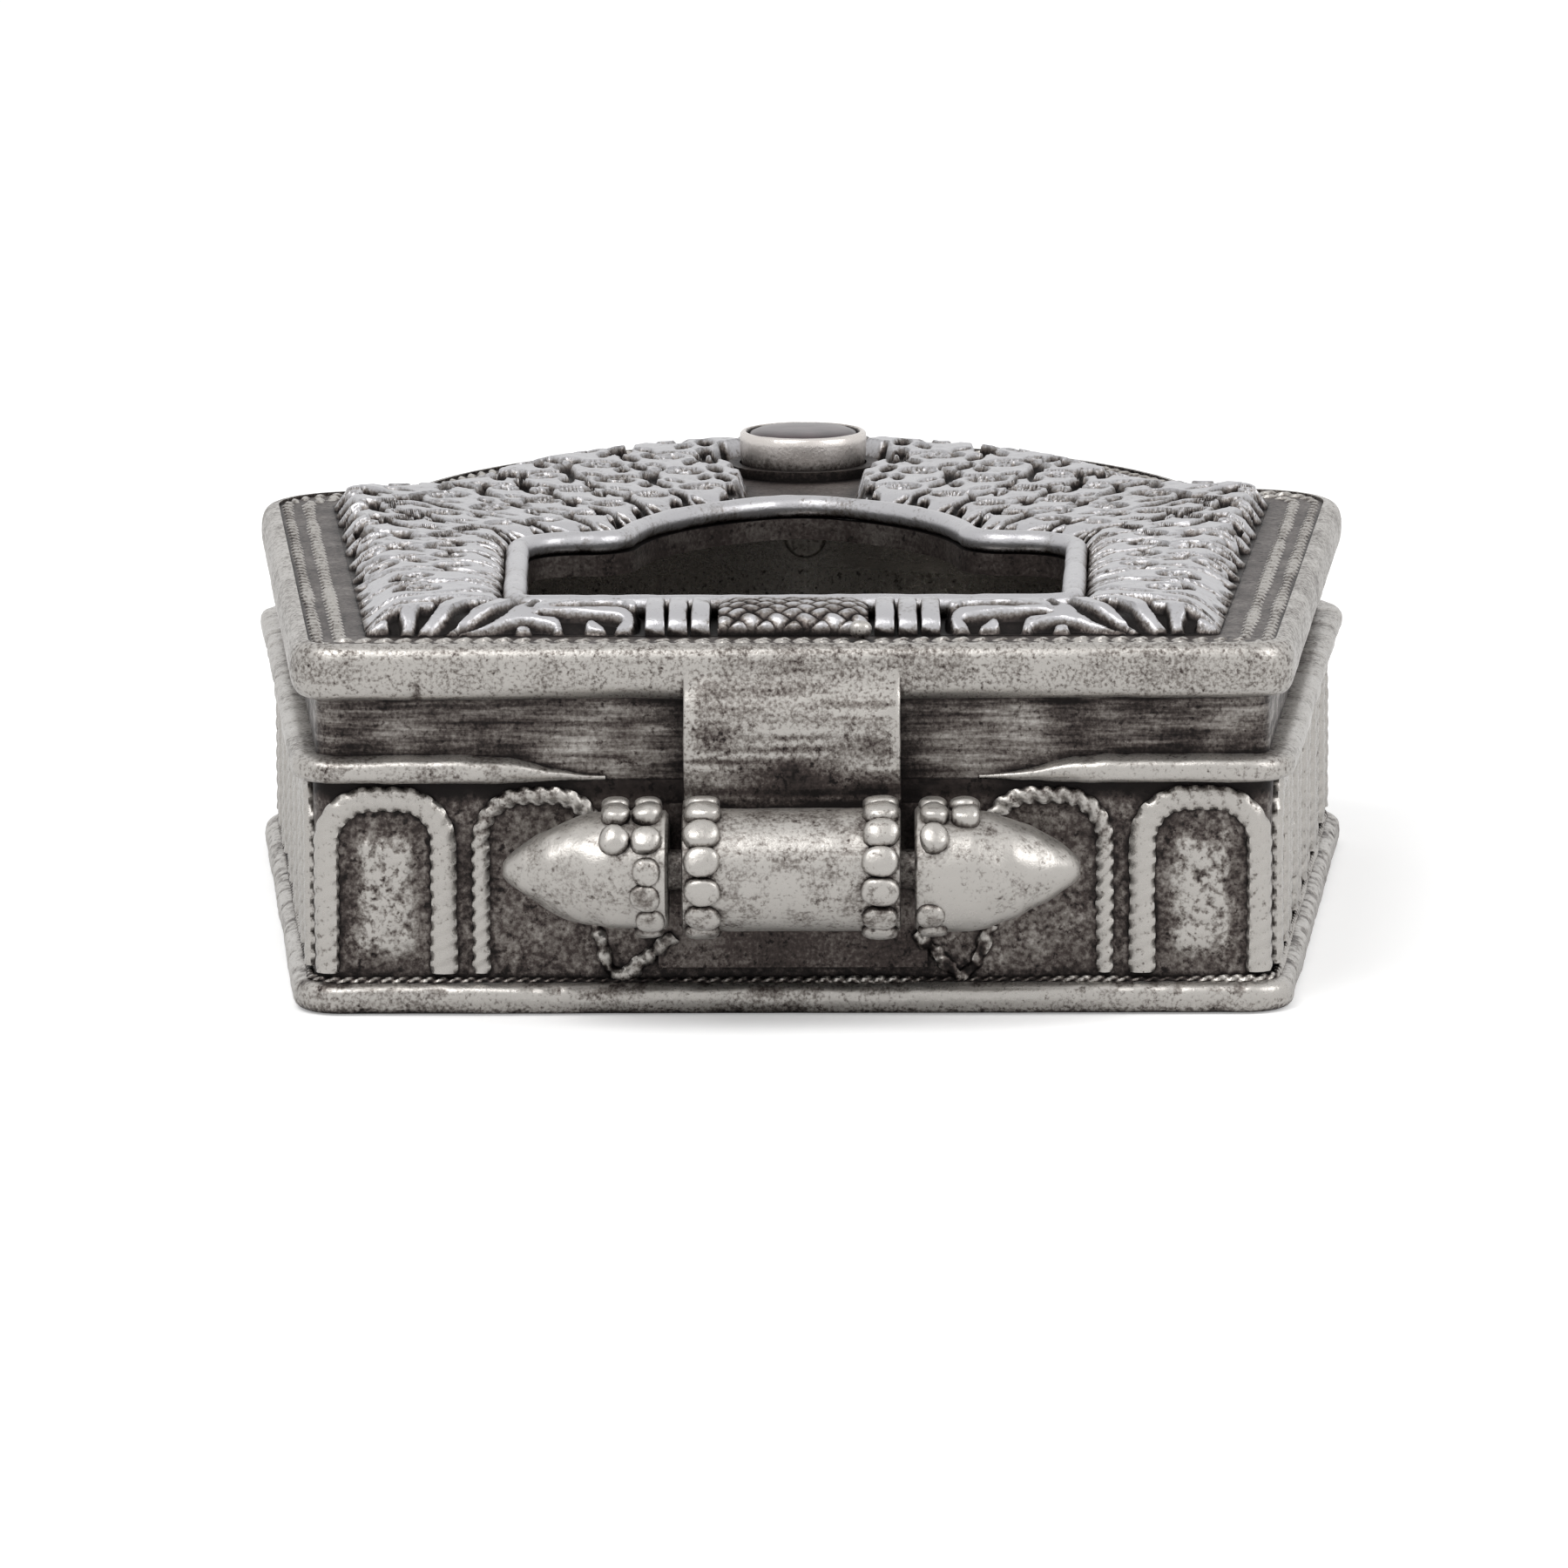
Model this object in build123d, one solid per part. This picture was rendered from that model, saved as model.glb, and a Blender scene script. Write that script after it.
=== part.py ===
"""A shrine-shaped ghau amulet box of oxidised silver, lying on its back.

The box is a shallow tray with an arcaded wall and a plain neck. A shallow windowed lid caps the neck and
swings up on a hinge at the foot: a strap and barrel on the lid turn on a pin between two pointed knuckles
on the box. Millimetres. X runs across the box, Y from its foot to its head, Z up out of the back plate.
"""

import os
from collections import namedtuple
from math import asin, atan2, cos, degrees, hypot, pi, sin, sqrt, tan

from build123d import *

# Plan of the box, measured at the lid's outer edge from the foot
LENGTH = 56.7
FOOT_WIDTH = 40.0
SHOULDER_WIDTH = 47.4
SHOULDER_Y = 42.2
SHOULDER_STEP = 6.15
ARCH_SHIFT = 2.0
FOOT_CORNER = 2.0
SHOULDER_CORNER = 4.2
CUSP_CORNER = 1.0
APEX_CORNER = 1.5

# Plan of the window in the lid
WINDOW_FOOT_Y = 8.2
WINDOW_FOOT_WIDTH = 21.8
WINDOW_SHOULDER_WIDTH = 22.6
WINDOW_SHOULDER_Y = 24.1
WINDOW_APEX_Y = 34.4
WINDOW_STEP = 4.4
WINDOW_ARCH_SHIFT = 4.0
WINDOW_FOOT_CORNER = 0.8
WINDOW_SHOULDER_CORNER = 2.1
WINDOW_CUSP_CORNER = 2.2
WINDOW_APEX_CORNER = 3.0

# Corners of an inset plan stay at least this round, and a shoulder takes at most this share of its step
LEAST_CORNER = 0.35
SHOULDER_SHARE = 0.85

# Box: back plate, arcaded wall, shoulder moulding and neck
BACK_THICKNESS = 1.3
BACK_EDGE = 0.45
WALL_INSET = 0.9
WALL_THICKNESS = 0.8
WALL_HEIGHT = 8.2
BASE_WIRE_WIDTH = 0.5
BASE_WIRE_HEIGHT = 0.45
BASE_WIRE_EDGE = 0.15
NECK_HEIGHT = 4.5
MOULDING_OUTSET = 0.05
MOULDING_HEIGHT = 0.95
MOULDING_EDGE = 0.4
MOULDING_GAP = 15.2

# Arcade of wire arches on the wall
FOOT_ARCHES = 6
FOOT_ARCHES_COVERED = 2
FOOT_ARCH_MARGIN = 0.35
ARCH_GAP = 0.85
ARCH_WIRE = 1.0
ARCH_PROUD = 0.55
ARCH_CORNER = 2.3
ARCH_TOP_GAP = 0.25
SIDE_ARCH_MARGIN = 1.9
SHOULDER_ARCH_MARGIN = 2.4
HEAD_ARCH_MARGIN = 4.3
PRISM_REACH = 3.0

# Lid: band, plate and the ornament on the plate
LID_FIT = 0.25
LID_SEAT_GAP = 0.05
BAND_THICKNESS = 0.75
BAND_HEIGHT = 2.1
BAND_EDGE = 0.5
PLATE_THICKNESS = 0.9
BORDER_WIRE_WIDTH = 0.75
BORDER_WIRE_HEIGHT = 0.25
BORDER_WIRE_EDGE = 0.15
BORDER_WIRE_GAP = 0.15
FRAME_GAP = 0.7
FRAME_STEP = 0.55
FRAME_CREST = 1.1
FRAME_OUTER_SLOPE = 1.8
FRAME_INNER_SLOPE = 1.2
GROOVE_PITCH = 3.9
GROOVE_WIDTH = 0.45
GROOVE_DEPTH = 0.5
GROOVE_BOW = 0.6
GROOVE_SLANT = 1.5
FOOT_GROOVE_SLANT = 2.4
APRON_WIDTH = 5.4  # clear ground between the window and the stone
RIM_WIDTH = 0.9
RIM_HEIGHT = 0.95
RIM_EDGE = 0.4
BAR_COUNT = 3
BAR_WIDTH = 0.72
BAR_PITCH = 0.92
BAR_START = 3.35
FRAME_END_GAP = 0.3
PLAQUE_GAP = 0.25
GRANULE_RADIUS = 0.36
GRANULE_X = 2.75

# Stone setting at the head of the lid
STONE_Y = 47.6
CUP_RADIUS = 2.8
CUP_WALL = 0.35
CUP_HEIGHT = 1.85
CUP_FLOOR = 0.4
SETTING_GAP = 0.6
COLLAR_WIDTH = 0.5
COLLAR_HEIGHT = 0.45
STONE_FIT = 0.03
STONE_CROWN = 0.15

# Hinge at the foot
HINGE_Z = 6.5
HINGE_CLEARANCE = 0.27
PIN_RADIUS = 0.8
PIN_RUNNING_FIT = 0.05
PIN_SEAT_FIT = 0.02
PIN_END = 8.4
BARREL_RADIUS = 2.45
BARREL_LENGTH = 8.7
KNUCKLE_GAP = 0.55
KNUCKLE_RADIUS = 2.4
KNUCKLE_COLLAR = 2.0
KNUCKLE_LENGTH = 6.6
KNUCKLE_TIP = 0.3
KNUCKLE_BULGE = 0.62
KNUCKLE_TAPER_MID = 0.55
BEAD_RADIUS = 0.58
BEADS_ROUND = 12
BEAD_SINK = 0.1
BEAD_EDGE_GAP = 0.08
BEAD_ROW_PITCH = 1.18
STRAP_THICKNESS = 0.75
STRAP_TOP_GAP = 0.55
STRAP_FOOT = 0.5
LUG_WIDTH = 1.75
LUG_HEIGHT = 3.2
LUG_START = 0.1
HINGE_PLATE_WIDTH = 10.8
HINGE_PLATE_THICKNESS = 0.4
HINGE_PLATE_FOOT = 0.15
HINGE_PLATE_HEAD = 0.9

# Cord bail at the head
BAIL_RADIUS = 1.5
BAIL_BORE = 0.9
BAIL_LENGTH = 8.0
BAIL_STAND_OFF = 0.25
BAIL_EDGE = 0.2
POST_RADIUS = 0.5
POST_HEAD_RADIUS = 0.95
POST_HEAD_HEIGHT = 0.45
POST_HEAD_EDGE = 0.2
POST_HEAD_SEAT = 0.15

# Heights of the stacked pieces above the table
WALL_FOOT_Z = BACK_THICKNESS
WALL_TOP_Z = WALL_FOOT_Z + WALL_HEIGHT
NECK_TOP_Z = WALL_TOP_Z + NECK_HEIGHT
MOULDING_TOP_Z = WALL_TOP_Z + MOULDING_HEIGHT
PLATE_Z = NECK_TOP_Z + LID_SEAT_GAP
LID_TOP_Z = PLATE_Z + PLATE_THICKNESS
BAND_FOOT_Z = LID_TOP_Z - BAND_HEIGHT
BASE_WIRE_TOP_Z = WALL_FOOT_Z + BASE_WIRE_HEIGHT
BAIL_Z = MOULDING_TOP_Z + POST_RADIUS

# Insets of the walls from the lid's outer edge
WALL_INNER = WALL_INSET + WALL_THICKNESS
NECK_INSET = BAND_THICKNESS + LID_FIT
OUTER_WIRE_INSET = BAND_THICKNESS
INNER_WIRE_INSET = OUTER_WIRE_INSET + BORDER_WIRE_WIDTH + BORDER_WIRE_GAP
FRAME_INSET = INNER_WIRE_INSET + BORDER_WIRE_WIDTH + FRAME_GAP

# One arch fills one share of the foot, and the others keep its width
FOOT_ARCH_PITCH = (FOOT_WIDTH - 2 * FOOT_ARCH_MARGIN) / FOOT_ARCHES
ARCH_OUTER_WIDTH = FOOT_ARCH_PITCH - ARCH_GAP

# The hinge's axis stands before the foot by what the granules on its barrel need
BEAD_PROUD = BEAD_RADIUS - BEAD_SINK
HINGE_Y = WALL_INSET - HINGE_PLATE_THICKNESS - HINGE_CLEARANCE - BEAD_PROUD - BARREL_RADIUS

# The plan's foot lies at this Y, so that the origin is under the middle of the back
FOOT_Y = -LENGTH / 2

Shrine = namedtuple(
    "Shrine",
    "foot_y foot_half shoulder_half shoulder_y step apex_y arch_shift foot_r shoulder_r cusp_r apex_r",
)
BOX = Shrine(
    0, FOOT_WIDTH / 2, SHOULDER_WIDTH / 2, SHOULDER_Y, SHOULDER_STEP, LENGTH, ARCH_SHIFT,
    FOOT_CORNER, SHOULDER_CORNER, CUSP_CORNER, APEX_CORNER,
)
WINDOW = Shrine(
    WINDOW_FOOT_Y, WINDOW_FOOT_WIDTH / 2, WINDOW_SHOULDER_WIDTH / 2, WINDOW_SHOULDER_Y,
    WINDOW_STEP, WINDOW_APEX_Y, WINDOW_ARCH_SHIFT,
    WINDOW_FOOT_CORNER, WINDOW_SHOULDER_CORNER, WINDOW_CUSP_CORNER, WINDOW_APEX_CORNER,
)


def flare(shape):
    """How far a shrine's side leans out for each millimetre towards the head."""
    return (shape.shoulder_half - shape.foot_half) / (shape.shoulder_y - shape.foot_y)


def side_x(shape, inset, y):
    """Where the inset side of a shrine is at height y of its plan."""
    lean = flare(shape)
    return shape.foot_half + lean * (y - shape.foot_y) - inset * hypot(1, lean)


def head_circle(shape):
    """Centre height and radius of the circle that each half of a shrine's pointed head follows."""
    reach = shape.shoulder_half - shape.step + shape.arch_shift
    rise = shape.apex_y - shape.shoulder_y
    centre_y = (
        shape.apex_y**2 - shape.shoulder_y**2 + shape.arch_shift**2 - reach**2
    ) / (2 * rise)
    return centre_y, hypot(shape.arch_shift, shape.apex_y - centre_y)


def apex_y(shape, inset):
    """Height of the inset head's point, before its corner is rounded."""
    centre_y, radius = head_circle(shape)
    return centre_y + sqrt((radius - inset) ** 2 - shape.arch_shift**2)


def shrine(shape, inset=0.0):
    """A shrine-shaped face, inset all round: straight foot, flared sides, round shoulders, pointed head."""
    centre_y, radius = head_circle(shape)
    radius -= inset
    foot = shape.foot_y + inset
    shoulder = shape.shoulder_y - inset
    apex = apex_y(shape, inset)
    foot_corner = Vector(side_x(shape, inset, foot), foot)
    shoulder_corner = Vector(side_x(shape, inset, shoulder), shoulder)
    start_angle = asin((shoulder - centre_y) / radius)
    end_angle = atan2(apex - centre_y, shape.arch_shift)

    def on_head(angle):
        return Vector(radius * cos(angle) - shape.arch_shift, centre_y + radius * sin(angle))

    cusp, middle, point = (on_head(a) for a in (start_angle, (start_angle + end_angle) / 2, end_angle))

    def mirrored(p):
        return Vector(-p.X, p.Y)

    edges = [
        Line(mirrored(foot_corner), foot_corner),
        Line(foot_corner, shoulder_corner),
        Line(shoulder_corner, cusp),
        ThreePointArc(cusp, middle, point),
        ThreePointArc(point, mirrored(middle), mirrored(cusp)),
        Line(mirrored(cusp), mirrored(shoulder_corner)),
        Line(mirrored(shoulder_corner), mirrored(foot_corner)),
    ]
    face = make_face(edges)
    step = shoulder_corner.X - cusp.X
    shoulder_r = min(max(shape.shoulder_r - inset, LEAST_CORNER), SHOULDER_SHARE * step)
    shoulder_run = shoulder_r * tan((pi / 2 + atan2(flare(shape), 1)) / 2)
    corners = (
        (foot_corner, max(shape.foot_r - inset, LEAST_CORNER)),
        (shoulder_corner, shoulder_r),
        (cusp, min(max(shape.cusp_r + inset, LEAST_CORNER), step - shoulder_run)),
        (point, max(shape.apex_r - inset, LEAST_CORNER)),
    )
    for corner, corner_radius in corners:
        places = {(round(p.X, 6), round(p.Y, 6)) for p in (corner, mirrored(corner))}
        found = [v for v in face.vertices() if (round(v.X, 6), round(v.Y, 6)) in places]
        face = fillet(found, corner_radius)
    return Pos(0, FOOT_Y, 0) * face


def ring(outer, inner, low, high):
    """A wall that stands between two faces of the plan, from height low to height high."""
    return Pos(0, 0, low) * extrude(outer - inner, high - low)


def outer_edges(part, height):
    """The edges round the outside of a ring's flat face at that height."""
    face = part.faces().filter_by(Axis.Z).filter_by(lambda f: abs(f.center().Z - height) < 1e-4)[0]
    return face.outer_wire().edges()


def inner_edges(part, height):
    """The edges round the hole of a ring's flat face at that height."""
    face = part.faces().filter_by(Axis.Z).filter_by(lambda f: abs(f.center().Z - height) < 1e-4)[0]
    return face.inner_wires()[0].edges()


def half_round(outer, inner, low, high, edge):
    """A wire with a rounded top that lies along the plan."""
    part = ring(outer, inner, low, high)
    part = fillet(outer_edges(part, high), edge)
    return fillet(inner_edges(part, high), edge)


def slab(x_low, x_high, y_low, y_high, z_low, z_high):
    """A box between two corners."""
    size = (x_high - x_low, y_high - y_low, z_high - z_low)
    centre = ((x_low + x_high) / 2, (y_low + y_high) / 2, (z_low + z_high) / 2)
    return Pos(*centre) * Box(*size)


def along_x(shape):
    """Turns a piece made round Z to lie round the hinge's own direction, X."""
    return Rot(0, 90, 0) * shape


HINGE = Pos(0, FOOT_Y + HINGE_Y, HINGE_Z)
WALL_FRONT_Y = FOOT_Y + WALL_INSET


def make_back_plate():
    """The flat back, which is also the flange that the wall stands on."""
    part = extrude(shrine(BOX), BACK_THICKNESS)
    part = fillet(outer_edges(part, BACK_THICKNESS), BACK_EDGE)
    return fillet(outer_edges(part, 0), BACK_EDGE)


def make_base_wire():
    """A thin wire along the foot of the wall."""
    outer = shrine(BOX, WALL_INSET - BASE_WIRE_WIDTH)
    part = ring(outer, shrine(BOX, WALL_INSET), WALL_FOOT_Z, BASE_WIRE_TOP_Z)
    return fillet(outer_edges(part, BASE_WIRE_TOP_Z), BASE_WIRE_EDGE)


def make_side_wall():
    """The strip of the arcade, bent to the plan."""
    return ring(shrine(BOX, WALL_INSET), shrine(BOX, WALL_INNER), WALL_FOOT_Z, WALL_TOP_Z)


def post_cylinder(radius, y_low, y_high):
    """A cylinder along Y through the head of the box, on the bail's height."""
    turned = Rot(-90, 0, 0) * Cylinder(radius, y_high - y_low, align=(Align.CENTER, Align.CENTER, Align.MIN))
    return Pos(0, FOOT_Y + y_low, BAIL_Z) * turned


def make_neck_collar():
    """The plain collar that the lid closes over, with the hole for the bail's post."""
    part = ring(shrine(BOX, NECK_INSET), shrine(BOX, WALL_INNER), WALL_TOP_Z, NECK_TOP_Z)
    return part - post_cylinder(POST_RADIUS, apex_y(BOX, WALL_INNER) - PRISM_REACH, LENGTH)


def make_shoulder_moulding():
    """A half-round moulding between arcade and neck, cut away where the hinge strap passes."""
    part = ring(shrine(BOX, -MOULDING_OUTSET), shrine(BOX, NECK_INSET), WALL_TOP_Z, MOULDING_TOP_Z)
    part = fillet(outer_edges(part, MOULDING_TOP_Z), MOULDING_EDGE)
    part = fillet(outer_edges(part, WALL_TOP_Z), MOULDING_EDGE)
    half = MOULDING_GAP / 2
    gap = slab(-half, half, FOOT_Y - PRISM_REACH, FOOT_Y + PRISM_REACH, 0, NECK_TOP_Z)
    return part - gap


def arch_prism():
    """One arch of wire, open at its foot, as a prism that runs along Y through the wall, its foot at Z 0."""
    height = WALL_TOP_Z - ARCH_TOP_GAP - BASE_WIRE_TOP_Z
    outer = extrude(Plane.XZ * arch_face(ARCH_OUTER_WIDTH / 2, height, ARCH_CORNER), PRISM_REACH, both=True)
    inner_half = ARCH_OUTER_WIDTH / 2 - ARCH_WIRE
    inner_face = arch_face(inner_half, height - ARCH_WIRE, ARCH_CORNER - ARCH_WIRE)
    inner = extrude(Plane.XZ * inner_face, 2 * PRISM_REACH, both=True)
    return outer - inner


def arch_face(half, height, corner):
    """An upright door shape with rounded top corners."""
    face = make_face(Polyline((-half, 0), (half, 0), (half, height), (-half, height), close=True))
    top = [v for v in face.vertices() if v.Y > height / 2]
    return fillet(top, corner)


def arches(places):
    """Wire arches laid on the wall at places of (x, y, outward direction in degrees from -Y)."""
    outer = shrine(BOX, WALL_INSET - ARCH_PROUD)
    skin = ring(outer, shrine(BOX, WALL_INSET), BASE_WIRE_TOP_Z, WALL_TOP_Z)
    prism = arch_prism()
    laid = [Pos(x, FOOT_Y + y, BASE_WIRE_TOP_Z) * Rot(0, 0, turn) * prism & skin for x, y, turn in places]
    return Compound([solid for part in laid for solid in part.solids()])


def make_foot_arches():
    """The arches beside the hinge, which covers the middle ones."""
    first, last = FOOT_ARCHES_COVERED // 2, FOOT_ARCHES // 2
    steps = [side * (i + 0.5) * FOOT_ARCH_PITCH for i in range(first, last) for side in (-1, 1)]
    return arches([(x, WALL_INSET, 0) for x in steps])


def make_side_arches(side):
    """The arches along one side, as many as fit: side is -1 for the left and 1 for the right."""
    run = SHOULDER_Y - SHOULDER_CORNER - SHOULDER_ARCH_MARGIN - SIDE_ARCH_MARGIN
    count = int(run // FOOT_ARCH_PITCH)
    lean = degrees(atan2(flare(BOX), 1))
    middles = [SIDE_ARCH_MARGIN + (i + 0.5) * run / count for i in range(count)]
    return arches([(side * side_x(BOX, WALL_INSET, y), y, side * (90 - lean)) for y in middles])


def shoulder_arch_place():
    """Where the arch on the right shoulder stands: x, y and its outward direction in radians from +X."""
    direction = (pi / 2 - atan2(flare(BOX), 1)) / 2
    corner_y = SHOULDER_Y - SHOULDER_CORNER
    reach = SHOULDER_CORNER - WALL_INSET
    x = side_x(BOX, SHOULDER_CORNER, corner_y) + reach * cos(direction)
    return x, corner_y + reach * sin(direction), direction


def head_arch_places():
    """Where the arches on the right half of the head stand, as many as fit between bail and cusp."""
    centre_y, radius = head_circle(BOX)
    radius -= WALL_INSET
    top = atan2(apex_y(BOX, WALL_INSET) - centre_y, ARCH_SHIFT)
    bottom = asin((SHOULDER_Y - WALL_INSET - centre_y) / radius)
    run = radius * (top - bottom) - HEAD_ARCH_MARGIN
    count = int((run + ARCH_GAP) // FOOT_ARCH_PITCH)
    angles = [
        top - (HEAD_ARCH_MARGIN + ARCH_OUTER_WIDTH / 2 + i * FOOT_ARCH_PITCH) / radius for i in range(count)
    ]
    return [(radius * cos(a) - ARCH_SHIFT, centre_y + radius * sin(a), a) for a in angles]


def make_head_arches():
    """The arches round the shoulders and the pointed head."""
    right = [shoulder_arch_place(), *head_arch_places()]
    return arches([(side * x, y, side * (90 + degrees(a))) for x, y, a in right for side in (-1, 1)])


def make_hinge_plate(foot_arches):
    """A flat plate on the wall behind the barrel, between the arches."""
    low = BASE_WIRE_TOP_Z + HINGE_PLATE_FOOT
    high = WALL_TOP_Z - HINGE_PLATE_HEAD
    half = HINGE_PLATE_WIDTH / 2
    return slab(-half, half, WALL_FRONT_Y - HINGE_PLATE_THICKNESS, WALL_FRONT_Y, low, high) - foot_arches


KNUCKLE_START = BARREL_LENGTH / 2 + KNUCKLE_GAP


def knuckle_body():
    """A pointed knuckle round Z, its flat face at Z 0, without its bore."""
    tip = KNUCKLE_LENGTH
    middle_z = KNUCKLE_COLLAR + KNUCKLE_TAPER_MID * (tip - KNUCKLE_COLLAR)
    middle_r = KNUCKLE_TIP + KNUCKLE_BULGE * (KNUCKLE_RADIUS - KNUCKLE_TIP)
    edges = [
        Line((0, 0), (KNUCKLE_RADIUS, 0)),
        Line((KNUCKLE_RADIUS, 0), (KNUCKLE_RADIUS, KNUCKLE_COLLAR)),
        ThreePointArc((KNUCKLE_RADIUS, KNUCKLE_COLLAR), (middle_r, middle_z), (KNUCKLE_TIP, tip)),
        Line((KNUCKLE_TIP, tip), (0, tip)),
        Line((0, tip), (0, 0)),
    ]
    return revolve(Plane.XZ * make_face(edges), Axis.Z)


def place_knuckle(part, side):
    """Moves a piece made round Z to one end of the hinge, pointing outwards."""
    return HINGE * Pos(side * KNUCKLE_START, 0, 0) * Rot(0, 90 * side, 0) * part


def make_knuckle(side):
    """The pointed knuckle on one side of the box, with a blind bore that holds the pin's end."""
    depth = PIN_END - KNUCKLE_START
    bore = Cylinder(PIN_RADIUS + PIN_SEAT_FIT, depth, align=(Align.CENTER, Align.CENTER, Align.MIN))
    return place_knuckle(knuckle_body() - bore, side)


def make_lug(side, hinge_plate, foot_arches):
    """The lug that carries a knuckle on the wall, fitted round the hinge plate and the nearest arch."""
    x_low = KNUCKLE_START + LUG_START
    span = sorted((side * x_low, side * (x_low + LUG_WIDTH)))
    low, high = HINGE_Z - LUG_HEIGHT / 2, HINGE_Z + LUG_HEIGHT / 2
    block = slab(*span, FOOT_Y + HINGE_Y, WALL_FRONT_Y, low, high)
    return block - place_knuckle(knuckle_body(), side) - hinge_plate - foot_arches


def bead_ring(core_radius, middle):
    """A ring of granules round Z on a core, at height middle, each cut where it is sunk in the core."""
    core = Cylinder(core_radius, 4 * BEAD_RADIUS)
    centre = core_radius - BEAD_SINK
    beads = [
        Rot(0, 0, 360 * i / BEADS_ROUND) * Pos(centre, 0, 0) * Sphere(BEAD_RADIUS) - core
        for i in range(BEADS_ROUND)
    ]
    return [Pos(0, 0, middle) * solid for bead in beads for solid in bead.solids()]


def make_knuckle_beads(side, rows):
    """Rows of granules round the root of a knuckle, without those that the lug covers."""
    first = BEAD_RADIUS + BEAD_EDGE_GAP
    beads = [b for row in range(rows) for b in bead_ring(KNUCKLE_RADIUS, first + row * BEAD_ROW_PITCH)]
    placed = [place_knuckle(b, side) for b in beads]
    behind = FOOT_Y + HINGE_Y + KNUCKLE_RADIUS * cos(asin(LUG_HEIGHT / 2 / KNUCKLE_RADIUS)) - BEAD_RADIUS
    return Compound([b for b in placed if b.center().Y < behind])


def make_hinge_pin():
    """The pin through barrel and knuckles."""
    return HINGE * along_x(Cylinder(PIN_RADIUS, 2 * PIN_END - 2 * PIN_SEAT_FIT))


def make_bail_tube():
    """The tube that a neck cord passes through, across the head of the box."""
    part = Cylinder(BAIL_RADIUS, BAIL_LENGTH) - Cylinder(BAIL_BORE, 2 * BAIL_LENGTH)
    rims = part.edges().filter_by(GeomType.CIRCLE).filter_by(lambda e: e.radius > BAIL_BORE + BAIL_EDGE)
    part = fillet(rims, BAIL_EDGE)
    return Pos(0, FOOT_Y + LENGTH + BAIL_STAND_OFF + BAIL_RADIUS, BAIL_Z) * along_x(part)


def make_bail_post():
    """The riveted post that carries the bail: it goes through the neck and has a domed head inside."""
    tube_y = LENGTH + BAIL_STAND_OFF + BAIL_RADIUS
    seat_y = apex_y(BOX, WALL_INNER) - POST_HEAD_SEAT
    head = post_cylinder(POST_HEAD_RADIUS, seat_y - POST_HEAD_HEIGHT, seat_y)
    head = fillet(head.edges().filter_by(GeomType.CIRCLE).sort_by(Axis.Y)[0], POST_HEAD_EDGE)
    tube = Pos(0, FOOT_Y + tube_y, BAIL_Z) * along_x(Cylinder(BAIL_RADIUS, BAIL_LENGTH))
    return head + post_cylinder(POST_RADIUS, seat_y, tube_y) - tube


def make_lid_band():
    """The plain rounded band round the lid."""
    part = ring(shrine(BOX), shrine(BOX, BAND_THICKNESS), BAND_FOOT_Z, LID_TOP_Z)
    part = fillet(outer_edges(part, LID_TOP_Z), BAND_EDGE)
    return fillet(outer_edges(part, BAND_FOOT_Z), BAND_EDGE)


def make_lid_plate():
    """The plate inside the band, with its window."""
    return ring(shrine(BOX, BAND_THICKNESS), shrine(WINDOW), PLATE_Z, LID_TOP_Z)


def make_border_wire(inset):
    """One of the two wires that border the lid."""
    outer = shrine(BOX, inset)
    inner = shrine(BOX, inset + BORDER_WIRE_WIDTH)
    return half_round(outer, inner, LID_TOP_Z, LID_TOP_Z + BORDER_WIRE_HEIGHT, BORDER_WIRE_EDGE)


def make_window_rim():
    """The round wire about the window."""
    outer, inner = shrine(WINDOW, -RIM_WIDTH), shrine(WINDOW)
    return half_round(outer, inner, LID_TOP_Z, LID_TOP_Z + RIM_HEIGHT, RIM_EDGE)


def sloped(low_face, high_face, low, high):
    """A solid between two like faces at two heights, with straight slopes."""
    return loft([Pos(0, 0, low) * low_face, Pos(0, 0, high) * high_face], ruled=True)


def frame_dome():
    """The raised frame between border wires and window rim: a step, then slopes up to a flat crest."""
    step_z = LID_TOP_Z + FRAME_STEP
    crest_z = LID_TOP_Z + FRAME_CREST
    outer_foot = shrine(BOX, FRAME_INSET)
    inner_foot = shrine(WINDOW, -RIM_WIDTH)
    outer_crest = shrine(BOX, FRAME_INSET + FRAME_OUTER_SLOPE)
    inner_crest = shrine(WINDOW, -RIM_WIDTH - FRAME_INNER_SLOPE)
    step = ring(outer_foot, inner_foot, LID_TOP_Z, step_z)
    hole = sloped(inner_foot, inner_crest, step_z, crest_z)
    return step + sloped(outer_foot, outer_crest, step_z, crest_z) - hole


BAR_END = BAR_START + (BAR_COUNT - 1) * BAR_PITCH + BAR_WIDTH
STONE = Pos(0, FOOT_Y + STONE_Y, LID_TOP_Z)


def foot_slab(x_low, x_high):
    """A slab across the frame's foot, from one x to another."""
    middle_y = FOOT_Y + WINDOW_FOOT_Y + WINDOW_CUSP_CORNER
    return slab(x_low, x_high, FOOT_Y, middle_y, 0, LID_TOP_Z + 2 * FRAME_CREST)


def foot_groove_ends():
    """Outer and inner ends of the grooves across the frame's foot, right half, from the bars to the corner."""
    low, high = FRAME_INSET, WINDOW_FOOT_Y - RIM_WIDTH
    start = BAR_END + FRAME_END_GAP
    count = int((FOOT_WIDTH / 2 - FRAME_INSET - start) // GROOVE_PITCH)
    places = [start + (i + 1) * GROOVE_PITCH for i in range(count)]
    return [(Vector(x, low), Vector(x - FOOT_GROOVE_SLANT, high)) for x in places]


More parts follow.
